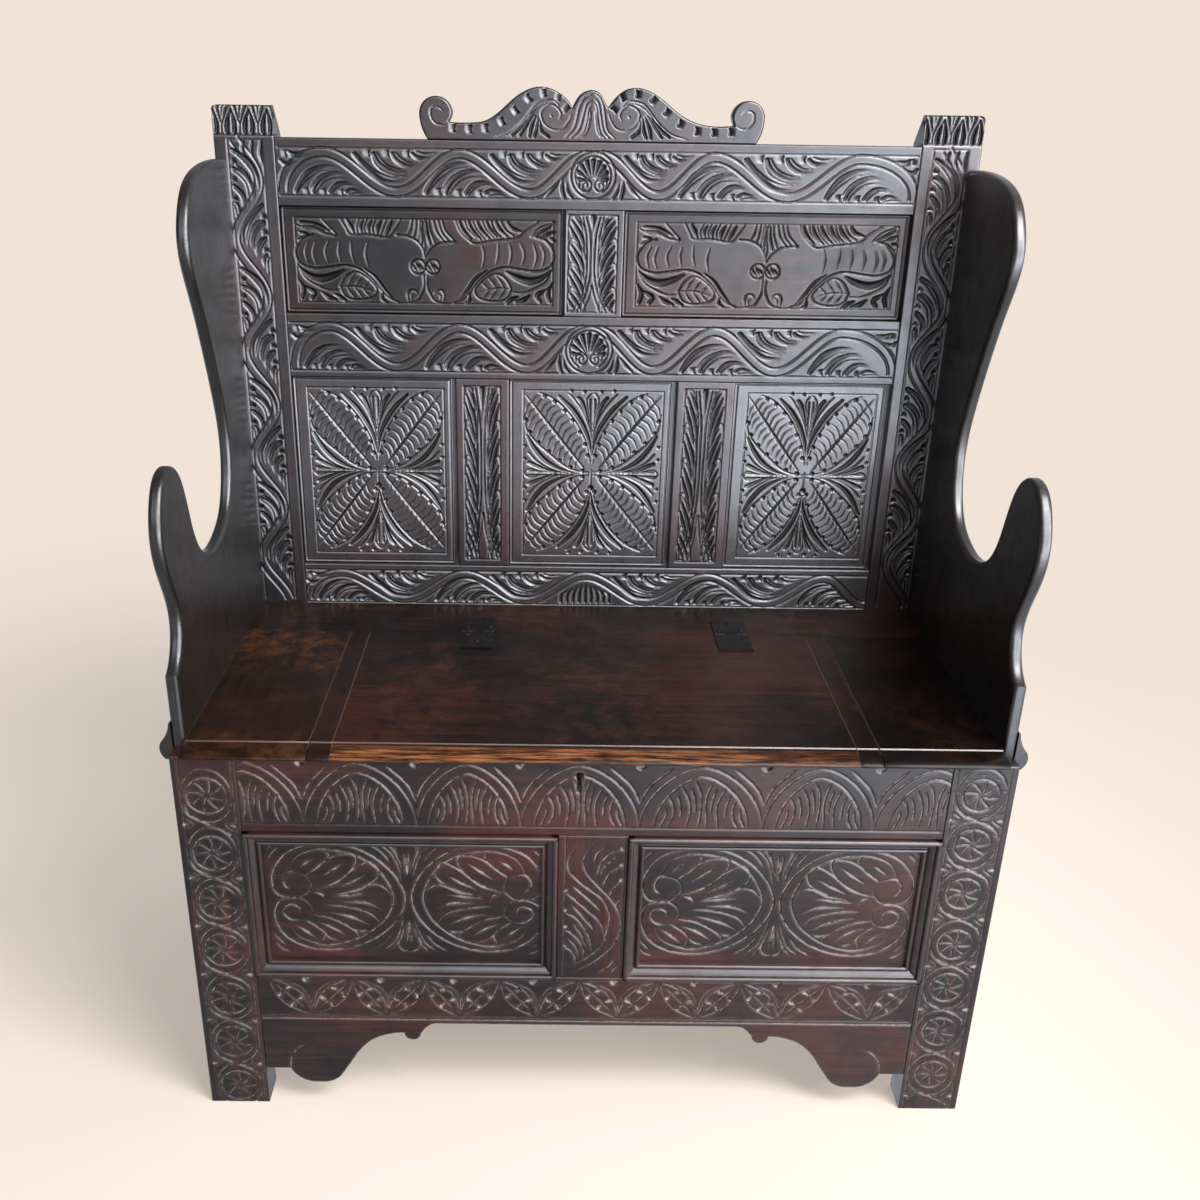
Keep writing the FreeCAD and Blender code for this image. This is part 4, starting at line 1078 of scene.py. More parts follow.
def ring_panel(name, node, x0, x1, cx):
    face = Face(x0, x1, 205.5, 409.5, FINE)
    for side in (-1, 1):
        ring_half(face, cx, 315, side)
    for sign in (1, -1):
        face.line(smooth([(cx, 315 + sign * 60), (cx, 315 + sign * 34)]), 2.0, 1.5)
    return carved_board(name, face, FRONT_Y + PANEL_SET_BACK, FRONT_Y + 22, node,
                        tongue=tongue_of(node, FRONT_Y))


ring_panel("carved_front_panel_left", "front_panel_left", -FRONT_IN + 0.5, -40.5, -217.5)
ring_panel("carved_front_panel_right", "front_panel_right", 42.5, FRONT_IN - 0.5, 222.5)

# %% [markdown]
# ## The crest
#
# The crest's outline is sawn, so its solid already has the right shape. Its front face is taken from that
# solid: the outline is filled again with a fine net of points inside it, and the net is cut like the other
# faces. `delaunay_2d_cdt` makes such a net and keeps the outline.


# %% A carved face of any outline
def front_outline(node):
    """The outline of a solid's front face, in order, in millimetres."""
    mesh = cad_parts[node].data
    corners = np.array([v.co[:] for v in mesh.vertices]) / MM
    front = corners[:, 1].min()
    on_front = np.abs(corners[:, 1] - front) < 0.05
    key = [tuple(np.round(c, 2)) for c in corners]
    count = {}
    for polygon in mesh.polygons:
        ids = list(polygon.vertices)
        if all(on_front[i] for i in ids):
            for a, b in zip(ids, ids[1:] + ids[:1]):
                edge = frozenset((key[a], key[b]))
                count[edge] = count.get(edge, 0) + 1
    links = {}
    for edge, times in count.items():
        if times == 1:
            a, b = tuple(edge)
            links.setdefault(a, []).append(b)
            links.setdefault(b, []).append(a)
    start = min(links)
    loop = [start]
    while True:
        ahead = [p for p in links[loop[-1]] if len(loop) < 2 or p != loop[-2]]
        if not ahead or ahead[0] == start:
            break
        loop.append(ahead[0])
    points = np.array([(p[0], p[2]) for p in loop])
    area = np.sum(points[:, 0] * np.roll(points[:, 1], -1) - np.roll(points[:, 0], -1) * points[:, 1])
    return points if area > 0 else points[::-1]


def evenly(loop, step):
    """The outline with a point about every step."""
    path = []
    for a, b in zip(loop, np.roll(loop, -1, axis=0)):
        count = max(1, int(round(np.hypot(*(b - a)) / step)))
        path += [a + (b - a) * t for t in np.linspace(0, 1, count, endpoint=False)]
    return np.array(path)


def distance_to(loop, points):
    """Distance of each point to the outline, and whether it is inside."""
    best = np.full(len(points), 1e9)
    inside = np.zeros(len(points), dtype=bool)
    for a, b in zip(loop, np.roll(loop, -1, axis=0)):
        step = b - a
        t = np.clip(((points - a) @ step) / max(step @ step, 1e-9), 0, 1)
        best = np.minimum(best, np.hypot(*(points - a - t[:, None] * step).T))
        crosses = (a[1] > points[:, 1]) != (b[1] > points[:, 1])
        with np.errstate(divide="ignore", invalid="ignore"):
            at = (b[0] - a[0]) * (points[:, 1] - a[1]) / (b[1] - a[1]) + a[0]
        inside ^= crosses & (points[:, 0] < at)
    return best, inside


def nearest(lines, places):
    """The number of the grid line next to each place; the lines are evenly spaced."""
    found = np.round((places - lines[0]) / (lines[1] - lines[0])).astype(int)
    return np.clip(found, 0, len(lines) - 1)


def carve_outline(name, node, face, thick_from, thick_to, eased=2.0):
    loop = evenly(front_outline(node), 1.6)
    x, z = np.meshgrid(face.x, face.z)
    grid = np.stack([x.ravel(), z.ravel()], 1)
    away, inside = distance_to(loop, grid)
    grid = grid[inside & (away > face.x[1] - face.x[0])]
    points = np.concatenate([loop, grid])
    edges = [(i, (i + 1) % len(loop)) for i in range(len(loop))]
    out = delaunay_2d_cdt([Vector(p) for p in points], edges, [], 1, 1e-5)
    flat = np.array([v[:] for v in out[0]])
    tris = np.array([f for f in out[2] if len(f) == 3])
    a, b, c = flat[tris[:, 0]], flat[tris[:, 1]], flat[tris[:, 2]]
    turn = (b[:, 0] - a[:, 0]) * (c[:, 1] - a[:, 1]) - (b[:, 1] - a[:, 1]) * (c[:, 0] - a[:, 0])
    tris[turn < 0] = tris[turn < 0][:, ::-1]
    column, row = nearest(face.x, flat[:, 0]), nearest(face.z, flat[:, 1])
    away, _ = distance_to(loop, flat)
    round_over = eased * np.clip(1 - away / eased, 0, 1) ** 2 * 0.8
    cut = face.cut[row, column] + round_over
    rise = (blurred(face.cut, 3) - face.cut)[row, column]
    n = len(flat)
    front = np.stack([flat[:, 0], thick_from + cut, flat[:, 1]], 1)
    back = np.stack([flat[:, 0], np.full(n, thick_to), flat[:, 1]], 1)
    edge_use = {}
    for tri in tris:
        for i, j in ((tri[0], tri[1]), (tri[1], tri[2]), (tri[2], tri[0])):
            edge_use[(i, j)] = True
    rim = [(i, j) for (i, j) in edge_use if (j, i) not in edge_use]
    walls = [(j, i, i + n, j + n) for i, j in rim]
    mesh = mesh_from_arrays(name, np.concatenate([front, back]) * MM,
                            list(tris) + walls + list(tris[:, ::-1] + n), len(tris))
    give(mesh, "cut_depth", np.concatenate([cut, np.zeros(n)]))
    give(mesh, "ridge", np.concatenate([rise, np.zeros(n)]))
    piece = added(name, mesh)
    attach(piece, "carcase")
    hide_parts(node)
    carved.append(piece)
    print(name, "has", face.strokes, "strokes and", len(mesh.polygons), "faces")
    return piece


# %% Scrolls, chips and tongue of the crest
CREST_LINES = (
    ((-187, 1181.3), (-193.2, 1185.2), (-201, 1182.9), (-201.8, 1174.3), (-196.4, 1166.4),
     (-187, 1164.9), (-180.7, 1168)),
    ((-122.7, 1151.5), (-104, 1157), (-88.3, 1169.6), (-72.6, 1188.4), (-64.8, 1193), (-50.7, 1194.6),
     (-42.8, 1188.4)),
    ((-107, 1152), (-89.8, 1160.2), (-78.9, 1177.4), (-69.5, 1186.8), (-58.5, 1191.5)),
    ((-42.8, 1172.7), (-40.5, 1179), (-46, 1186.8), (-53.8, 1189.2), (-63.2, 1183.7), (-64.8, 1175.8),
     (-60, 1166.4), (-49.1, 1161), (-38, 1162.5), (-30.3, 1171.1), (-27.2, 1179)),
    ((-35, 1151.5), (-24, 1163.3), (-17.8, 1186.8), (-11.5, 1197.8), (-2.9, 1201.7)),
    ((-28, 1151.5), (-17.8, 1161.7), (-12.3, 1179), (-8.4, 1191.5), (-2.9, 1195.4)),
    ((-20.9, 1151.5), (-13, 1157), (-8.4, 1169.6), (-6, 1185.2), (-2.9, 1189.9)),
    ((-14.6, 1152), (-7.6, 1160), (-4.4, 1174), (-3.2, 1184)),
)
CREST_SPRAYS = (
    ((-71.8, 1176), (-77, 1163.5), (-79, 1153)), ((-68.7, 1174.3), (-70.2, 1161.7), (-73.5, 1153)),
    ((-66.3, 1171), (-64.8, 1160), (-56, 1153)), ((-74.2, 1178), (-84, 1165), (-91.4, 1154)),
    ((-77.3, 1176.5), (-91, 1162), (-101, 1154)),
)
CREST_CHIPS = (
    (-180, 1161, 0), (-159.6, 1160.2, 0), (-139.3, 1161, 4), (-118.5, 1167, 24), (-101, 1178.8, 38),
    (-84.5, 1192.5, 42), (-67.2, 1202, 6), (-48.4, 1201, -22), (-36.8, 1189.5, -52),
)


def crest_half(face, cx, side):
    """One half of the crest; the carver's right half came out a little narrower near the middle."""

    def shift(x):
        if side > 0:
            return cx + x
        return cx + np.interp(-x, (0, 26.4, 64.8, 138, 175, 216), (0, 18.3, 57, 134, 172.5, 213.5))

    def at(points):
        return [(shift(x), z) for x, z in smooth(points, 1.2)]

    for points in CREST_LINES:
        face.line(at(points), 1.4, 2.0)
    for points in CREST_SPRAYS:
        face.gouge(at(points), [2.4, 5.0, 4.4], [1.6, 3.4, 3.2], "u")
    for x, z, angle in CREST_CHIPS:
        turn = math.radians(angle if side > 0 else 180 - angle)
        face.chip(shift(x), z, turn, 9.0, 10.0, 4.4)
    face.dot(shift(-52.2), 1176.6, 1.4, 1.6)


crest_box = [span("crest", axis) for axis in (0, 1, 2)]
crest_face = Face(crest_box[0][0] - 1, crest_box[0][1] + 1, crest_box[2][0], crest_box[2][1] + 1, FINE)
for side in (1, -1):
    crest_half(crest_face, -7, side)
carve_outline("carved_crest", "crest", crest_face, crest_box[1][0], crest_box[1][1])

# %% Curl lines of the front skirt
apron_box = [span("front_apron", axis) for axis in (0, 1, 2)]
apron_face = Face(apron_box[0][0], apron_box[0][1], apron_box[2][0], apron_box[2][1], FINE * 1.5)
for side in (-1, 1):
    curl = smooth([(side * x, z) for x, z in ((351, 96), (362, 90), (371, 78), (374, 66), (374, 54))])
    apron_face.line(curl, 2.6, 1.8)
carve_outline("carved_skirt", "front_apron", apron_face, apron_box[1][0], apron_box[1][1])


# %% [markdown]
# ## Shader helper
#
# Shader maths reads best as plain expressions. One small class wraps a socket and turns +, - and * into
# Math nodes; `node` makes any other node, with its settings first and its inputs after.


# %% Sockets with arithmetic
class Socket:
    tree = None

    def __init__(self, link):
        self.link = link

    @classmethod
    def node(cls, kind, settings=None, inputs=None, out=0):
        made = cls.tree.nodes.new(kind)
        for key, value in (settings or {}).items():
            if key == "stops":
                ramp = made.color_ramp
                while len(ramp.elements) < len(value):
                    ramp.elements.new(0.5)
                for element, (place, colour) in zip(ramp.elements, value):
                    element.position = place
                    element.color = (*colour, 1) if len(colour) == 3 else colour
            else:
                setattr(made, key, value)
        for key, value in (inputs or {}).items():
            if isinstance(value, Socket):
                cls.tree.links.new(value.link, made.inputs[key])
            else:
                made.inputs[key].default_value = value
        return Socket(made.outputs[out])

    def _math(self, operation, *others, clamp=False):
        return Socket.node("ShaderNodeMath", {"operation": operation, "use_clamp": clamp},
                           dict(enumerate((self, *others))))

    def __add__(self, other):
        return self._math("ADD", other)

    def __sub__(self, other):
        return self._math("SUBTRACT", other)

    def __mul__(self, other):
        return self._math("MULTIPLY", other)

    def __truediv__(self, other):
        return self._math("DIVIDE", other)

    __radd__ = __add__
    __rmul__ = __mul__

    def __rsub__(self, other):
        return Socket.node("ShaderNodeMath", {"operation": "SUBTRACT"}, {0: other, 1: self})

    def clamp(self):
        return self._math("ADD", 0.0, clamp=True)

    def power(self, exponent):
        return self._math("POWER", exponent)

    def map(self, low, high, to_low=0.0, to_high=1.0):
        return Socket.node("ShaderNodeMapRange", {"interpolation_type": "SMOOTHSTEP"},
                           {0: self, 1: low, 2: high, 3: to_low, 4: to_high})


def mix(factor, a, b):
    return Socket.node("ShaderNodeMix", {"data_type": "RGBA"}, {0: factor, 6: a, 7: b}, out=2)


def tint(colour, factor):
    """A colour times a grey value."""
    return Socket.node("ShaderNodeMix", {"data_type": "RGBA", "blend_type": "MULTIPLY"},
                       {0: 1.0, 6: colour, 7: factor}, out=2)


def noise(vector, scale, detail=4.0, rough=0.55, distortion=0.0):
    return Socket.node("ShaderNodeTexNoise", None, {"Vector": vector, "Scale": scale, "Detail": detail,
                                                    "Roughness": rough, "Distortion": distortion})


def stretched(vector, scale):
    return Socket.node("ShaderNodeMapping", {"vector_type": "POINT"}, {0: vector, 3: scale})


def attribute(name):
    return Socket.node("ShaderNodeAttribute", {"attribute_name": name}, None, out=2)


def grey_ramp(factor, *stops):
    colours = [(place, (value,) * 3) for place, value in stops]
    return Socket.node("ShaderNodeValToRGB", {"stops": colours}, {0: factor})


def rgb(text):
    """A colour written as six hex digits, as linear numbers."""
    values = [int(text[i:i + 2], 16) / 255 for i in (0, 2, 4)]
    return tuple(v / 12.92 if v <= 0.04045 else ((v + 0.055) / 1.055) ** 2.4 for v in values) + (1.0,)


def axes(vector):
    made = Socket.node("ShaderNodeSeparateXYZ", None, {0: vector})
    return [Socket(made.link.node.outputs[i]) for i in range(3)]


def new_finish(name):
    """A material whose tree the next nodes go into, its shader, and a piece's own coordinates."""
    material = bpy.data.materials.new(name)
    material.use_nodes = True
    Socket.tree = material.node_tree
    place = Socket.node("ShaderNodeTexCoord", None, None, out=3)
    return material, material.node_tree.nodes["Principled BSDF"], place


def plug(shader, **sockets):
    """Links sockets to the shader's inputs; an underscore stands for a space."""
    for name, socket in sockets.items():
        Socket.tree.links.new(socket.link, shader.inputs[name.replace("_", " ")])


# %% [markdown]
# ## The oak
#
# Old carved oak of this kind was stained nearly black and waxed for a century. Three things make it look
# real: long fine grain that follows each board's length, a red-brown glow where the stain has thinned, and
# wax that is dull in the cuts and shiny on every ridge. The cuts are also painted darker as shade, and the
# ridges paler, partly as wear and partly as a painted highlight. One function makes the wood, and its
# arguments give the direction of the grain, the stain, and the pale colour of wear and painted highlight.


# %% Waxed oak
GRAIN = {"x": (2.2, 60.0, 60.0), "y": (60.0, 2.2, 60.0), "z": (60.0, 60.0, 2.2)}


def oak(name, along, dark, warm, worn, glow=0.45, rough=0.36, cuts=None, scratched=False, polish=1.0):
    """Waxed oak; cuts is the colour of the carved lines and its share: dark is painted shade, pale is wax and
    highlight.
    """
    material, shader, place = new_finish(name)

    def grained(stretch, scale, detail, roughness, distortion=0.0):
        """Noise drawn out along the grain."""
        long = stretched(place, tuple(v * stretch for v in GRAIN[along]))
        return noise(long, scale, detail, roughness, distortion)

    fibres = grained(1.0, 9.0, 6.0, 0.6, 0.4)
    streaks = grained(0.5, 4.0, 4.0, 0.55, 0.8)
    clouds = noise(place, 5.0, 3.0, 0.5)
    pores = grained(4.0, 9.0, 2.0, 0.5)
    thin_stain = (streaks * 0.5 + clouds * 0.8).map(0.56, 0.84) * glow
    base = mix(thin_stain, rgb(dark), rgb(warm))
    base = tint(base, grey_ramp(fibres, (0.28, 0.48), (0.72, 1.0)))
    roughness = rough + noise(place, 22.0, 4.0, 0.6).map(0.4, 0.7) * 0.12 + fibres * 0.10 - 0.08
    wax = (noise(place, 30.0, 3.0, 0.6).map(0.25, 0.6) * 0.35 + 0.65) * polish
    if cuts:
        colour, share = cuts
        depth = attribute("cut_depth").map(0.4, 2.6)
        shallow = attribute("cut_depth").map(0.5, 1.5)
        ridge = attribute("ridge").map(0.10, 0.7)
        residue_and_painted_light = noise(place, 160.0, 3.0, 0.6).map(0.34, 0.62)
        # Painted shade: the deeper the cut, the darker the wood.
        base = tint(base, grey_ramp(depth, (0.0, 1.0), (1.0, 0.20)))
        # The cut colour goes into the shallow cuts, broken up by noise: a dark one is painted shade, a pale
        # one wax residue with a painted highlight.
        base = mix(shallow * residue_and_painted_light * share, base, rgb(colour))
        # Ridges turn towards the pale worn colour: partly real wear, partly a painted highlight.
        base = mix(ridge * 0.6, base, rgb(worn))
        roughness = roughness + depth * 0.15 - ridge * 0.08
        wax = wax * (1.0 - depth * 0.9)
    else:
        base = mix(noise(place, 14.0, 5.0, 0.7).map(0.62, 0.80) * 0.35, base, rgb(worn))
    if scratched:
        marks = grained(2.0, 9.0, 6.0, 0.75).map(0.56, 0.70)
        base = mix(marks * clouds.map(0.30, 0.60) * 0.6, base, rgb(worn))
    bump = Socket.node("ShaderNodeBump", None, {"Strength": 0.5, "Distance": 0.0008,
                                                "Height": fibres * 0.6 + pores * 0.4})
    plug(shader, Base_Color=base, Roughness=roughness, Coat_Weight=wax, Normal=bump)
    shader.inputs["Specular IOR Level"].default_value = 0.30 * polish
    shader.inputs["Coat Roughness"].default_value = 0.30
    return material


def both_ways(name, *colours, **wear):
    """The same oak with its grain along x, y and z."""
    return {way: oak(f"{name}_{way}", way, *colours, **wear) for way in "xyz"}


# The near-black cut colour of these back oaks is painted shade in the cuts.
carved_oak = both_ways("carved_oak", "151211", "4a1f18", "4b4a4b", glow=0.48, cuts=("08080a", 0.55))
dull_oak = both_ways("dull_oak", "15110f", "431d17", "4a4745", glow=0.7, cuts=("08080a", 0.55),
                     polish=0.62)
# The pale cut colour of the front is wax residue with a painted highlight in the V lines.
front_oak = both_ways("front_oak", "1b0f0c", "52241b", "5c4a44", glow=0.85, cuts=("b4ada6", 0.66),
                      polish=0.74)
# Painted sheen: base and ridge colours lighter than the carved oak's; the higher polish is a real finish.
polished_oak = both_ways("polished_oak", "242122", "4c2a24", "6e6a68", glow=0.45, rough=0.27,
                         cuts=("08080a", 0.45), polish=1.35)
plain_oak = both_ways("plain_oak", "1b1513", "45211a", "4a4440", glow=0.7, polish=0.9)
wing_oak = both_ways("wing_oak", "191513", "33231c", "7c736a", glow=0.5, rough=0.31, scratched=True)


# %% [markdown]
# The lower part of the back, which people lean on, is the shiniest, and its colours are lighter, as a
# painted sheen. The seat is browner than the frame, with a cloudy mottle, and its right end is painted
# darker as the shade of the right wing. The lid's front edge is rubbed down to the bare orange-brown wood by
# a century of legs. The rubbing is a mask on the object's own coordinates: it needs no painted map, and it
# stays in place when the lid opens, because the coordinates move with the lid. A pale line along the seat's
# top, a little behind the front, is a painted highlight.

# %% Seat boards and the rubbed edge
SEAT_TOP = 520.0


def seat_oak(name, along, dark, warm, glow, rubbed=False, mottle=0.0):
    material = oak(name, along, dark, warm, "3c2517", glow, 0.33, polish=0.24)
    shader = material.node_tree.nodes["Principled BSDF"]
    place = Socket.node("ShaderNodeTexCoord", None, None, out=3)
    x, y, z = axes(place)
    colour = Socket(shader.inputs["Base Color"].links[0].from_socket)
    if mottle:
        clouds = noise(place, 7.0, 3.0, 0.5).map(0.38, 0.66)
        patches = clouds * noise(place, 42.0, 8.0, 0.78, 0.3).map(0.40, 0.66)
        colour = mix(patches * mottle, colour, rgb("633a20"))
    if rubbed:
        edge = y.map((FRONT_Y + 16) * MM, (FRONT_Y + 10) * MM)
        kept = x.map(0.34, 0.02) * 0.6 + 0.4
        patches = noise(stretched(place, (6.0, 70.0, 70.0)), 3.0, 6.0, 0.7).map(0.42, 0.58)
        streaks = noise(stretched(place, (4.0, 60.0, 60.0)), 5.0, 6.0, 0.7).map(0.40, 0.60)
        worn = z.map((SEAT_LEVEL - 26) * MM, (SEAT_LEVEL - 4) * MM)
        bare = mix(streaks, rgb("26140e"), rgb("8f5a38"))
        colour = mix(edge * kept * (patches * 0.6 + 0.4) * (worn * 0.5 + 0.5), colour, bare)
    # Painted highlight: a pale line along the seat's top, 14.5 mm behind the front, for the glint on an arris
    # there.
    line = Socket.node("ShaderNodeMath", {"operation": "ABSOLUTE"}, {0: y - (FRONT_Y + 14.5) * MM})
    on_top = z.map((SEAT_TOP - 1.0) * MM, (SEAT_TOP - 0.3) * MM)
    colour = mix(line.map(0.0011, 0.0004) * on_top * 0.55, colour, rgb("a08c7c"))
    plug(shader, Base_Color=colour)
    return material


seat_plain = seat_oak("seat_oak_board", "x", "110806", "3c1a10", 0.9, mottle=0.22)
seat_cleat = seat_oak("seat_oak_cleat", "y", "130a07", "301710", 0.75, mottle=0.15)
seat_left = seat_oak("seat_oak_left_end", "y", "120907", "2a150c", 0.7, mottle=0.55)
# Painted shade: the right end is darker, for the shade that the right wing casts on it.
seat_right_painted_shade = seat_oak("seat_oak_right_end", "y", "0a0605", "170c09", 0.7, mottle=0.1)
seat_edge = seat_oak("seat_oak_rubbed", "x", "110806", "3c1a10", 0.9, rubbed=True, mottle=0.22)
arris_highlight_oak = oak("rubbed_arris", "x", "4a3628", "6a4a38", "8a7462", 0.7, 0.30)
front_moulding_oak = oak("front_moulding_oak", "x", "241815", "4c251d", "584640", 0.8)


# %% Black iron
def iron_finish(name):
    material, shader, place = new_finish(name)
    pits = noise(place, 400.0, 4.0, 0.6)
    patches = noise(place, 60.0, 3.0)
    base = mix(patches.map(0.45, 0.7), rgb("141314"), rgb("2b211c"))
    bump = Socket.node("ShaderNodeBump", None, {"Strength": 0.5, "Distance": 0.0004, "Height": pits})
    plug(shader, Base_Color=base, Roughness=0.38 + pits * 0.25, Normal=bump)
    shader.inputs["Metallic"].default_value = 0.7
    return material


iron = iron_finish("black_iron")

# %% [markdown]
# ## Dress the pieces
#
# Boards that lie along the settle get grain along x, uprights along z, and boards that run from front to
# back along y. The boards of the seat get rounded arrises first, because the light picks out every joint
# there, and their upper arrises get a paler finish, a painted highlight where the light catches them.


# %% Give each piece its finish
def dress(thing, material):
    thing.data.materials.clear()
    thing.data.materials.append(material)


UPRIGHT = ("stile", "post", "upright", "lower_panel")
for piece in carved:
    way = "z" if any(word in piece.name for word in UPRIGHT) else "x"
    front = "front" in piece.name or "skirt" in piece.name
    # The leant-on pieces take the polished oak, whose lighter colours are a painted sheen.
    leant_on_and_sheen = "lower_panel" in piece.name or "seat_rail" in piece.name
    finish = polished_oak if leant_on_and_sheen else dull_oak if "upper_panel" in piece.name else carved_oak
    dress(piece, (front_oak if front else finish)[way])


# %% Ease the arrises of the seat boards
def eased(node, width):
    """A copy of a board with its arrises rubbed away, which opens a fine groove at every joint."""
    piece = added("eased_" + node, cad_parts[node].data.copy())
    work = bmesh.new()
    work.from_mesh(piece.data)
    bmesh.ops.remove_doubles(work, verts=work.verts, dist=1e-6)
    bmesh.ops.dissolve_limit(work, angle_limit=0.02, verts=work.verts, edges=work.edges)
    sharp = [edge for edge in work.edges if edge.calc_face_angle(0) > 0.9]
    bmesh.ops.bevel(work, geom=sharp, offset=width, segments=2, profile=0.6, affect="EDGES",
                    clamp_overlap=True)
    bmesh.ops.recalc_face_normals(work, faces=work.faces)
    work.to_mesh(piece.data)
    work.free()
    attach(piece, "lid" if node.startswith("lid") else "carcase")
    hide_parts(node)
    return piece


SEAT_BOARDS = ("seat_end_left", "seat_end_right", "seat_rear_board", "lid_board_front", "lid_board_rear",
               "lid_cleat_left", "lid_cleat_right")
boards = {name: eased(name, 1.3 * MM) for name in SEAT_BOARDS}
print(len(boards), "seat boards with eased arrises")

# %% Finish the plain solids
ALONG_Y = ("side_top", "side_bottom", "side_panel", "wing_moulding", "seat_bearers")
ALONG_Z = ("back_muntin", "back_panel_box")
for name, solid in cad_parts.items():
    node = boards.get(name, solid)
    if name.startswith(("hinge", "lock", "lid_staple")):
        dress(node, iron)
    elif name == "lid_board_front":
        dress(node, seat_edge)
    elif name.startswith("lid_cleat"):
        dress(node, seat_cleat)
    elif name.startswith("seat_end"):
        dress(node, seat_left if name.endswith("left") else seat_right_painted_shade)
    elif name.startswith(("lid_board", "seat_rear")):
        dress(node, seat_plain)
    elif name.startswith("front_moulding"):
        dress(node, front_moulding_oak)
    elif name.startswith(("wing_left", "wing_right")):
        dress(node, wing_oak["z"])
    else:
        way = "y" if name.startswith(ALONG_Y) else "z" if name.startswith(ALONG_Z) else "x"
        dress(node, plain_oak[way])
# Painted highlight: the sloping upper arrises of the seat boards take the paler arris finish.
for board in boards.values():
    board.data.materials.append(arris_highlight_oak)
    top = max(vertex.co.z for vertex in board.data.vertices)
    for face in board.data.polygons:
        sloping = 0.3 < face.normal.z < 0.98
        face.material_index = int(sloping and face.center.z > top - 2 * MM)
print(len(carved), "carved pieces and", len(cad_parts), "solids have a finish")

# %% [markdown]
# ## Nails of the hinges
#
# The hinges are held by hand-made nails, whose heads are never quite round or level. Geometry Nodes put one
# on each place, turned and sized at random from a fixed seed: a shank with a low domed head. The places are
# read from the solids, and each body gets one mesh of its own nails.


# %% A tree that sets nails
HEAD_HIGH = 0.0014


def nail_tree(material):
    tree = bpy.data.node_groups.new("hinge_nails", "GeometryNodeTree")
    tree.interface.new_socket("Places", in_out="INPUT", socket_type="NodeSocketGeometry")
    for label, value in (("Head radius", 0.0033), ("Head height", HEAD_HIGH), ("Shank radius", 0.0014),
                         ("Shank length", 0.008)):
        tree.interface.new_socket(label, in_out="INPUT",
                                  socket_type="NodeSocketFloat").default_value = value
    tree.interface.new_socket("Seed", in_out="INPUT", socket_type="NodeSocketInt").default_value = 7
    tree.interface.new_socket("Nails", in_out="OUTPUT", socket_type="NodeSocketGeometry")

    def add(kind, settings=None, **inputs):
        made = tree.nodes.new(kind)
        for key, value in (settings or {}).items():
            setattr(made, key, value)
        for key, value in inputs.items():
            spot = made.inputs[key.replace("_", " ")]
            if isinstance(value, bpy.types.NodeSocket):
                tree.links.new(value, spot)
            else:
                spot.default_value = value
        return made

    given = add("NodeGroupInput").outputs
    head = add("GeometryNodeMeshUVSphere", Segments=12, Rings=6, Radius=given["Head radius"])
    flatness = add("ShaderNodeMath", {"operation": "DIVIDE"})
    tree.links.new(given["Head height"], flatness.inputs[0])
    tree.links.new(given["Head radius"], flatness.inputs[1])
    squash = add("ShaderNodeCombineXYZ", X=1.0, Y=1.0, Z=flatness.outputs[0])
    dome = add("GeometryNodeTransform", Geometry=head.outputs["Mesh"], Scale=squash.outputs[0])
    shank = add("GeometryNodeMeshCylinder", Vertices=8, Radius=given["Shank radius"],
                Depth=given["Shank length"])
    sunk = add("ShaderNodeMath", {"operation": "MULTIPLY"})
    tree.links.new(given["Shank length"], sunk.inputs[0])
    sunk.inputs[1].default_value = -0.5
    below = add("ShaderNodeCombineXYZ", Z=sunk.outputs[0])
    stem = add("GeometryNodeTransform", Geometry=shank.outputs["Mesh"], Translation=below.outputs[0])
    nail = add("GeometryNodeJoinGeometry")
    for part in (stem, dome):
        tree.links.new(part.outputs[0], nail.inputs[0])
    turn = add("FunctionNodeRandomValue", {"data_type": "FLOAT"}, Seed=given["Seed"])
    turn.inputs[3].default_value = 6.283
    spin = add("ShaderNodeCombineXYZ", Z=turn.outputs[1])
    size = add("FunctionNodeRandomValue", {"data_type": "FLOAT_VECTOR"}, Seed=given["Seed"])
    size.inputs[0].default_value = (0.86, 0.86, 0.8)
    size.inputs[1].default_value = (1.0, 1.0, 1.0)
    placed = add("GeometryNodeInstanceOnPoints", Points=given["Places"], Instance=nail.outputs[0],
                 Rotation=spin.outputs[0], Scale=size.outputs[0])
    real = add("GeometryNodeRealizeInstances", Geometry=placed.outputs[0])
    painted = add("GeometryNodeSetMaterial", Geometry=real.outputs[0], Material=material)
    result = add("NodeGroupOutput")
    tree.links.new(painted.outputs[0], result.inputs["Nails"])
    return tree


def nail_places(node):
    """The middle and the top level of each nail of a solid."""
    left = np.array([vertex.co[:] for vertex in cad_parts[node].data.vertices])
    found = []
    while len(left):
        near = np.hypot(left[:, 0] - left[0, 0], left[:, 1] - left[0, 1]) < 0.008
        low, high = left[near].min(0), left[near].max(0)
        found.append(((low[0] + high[0]) / 2, (low[1] + high[1]) / 2, high[2]))
        left = left[~near]
    return found


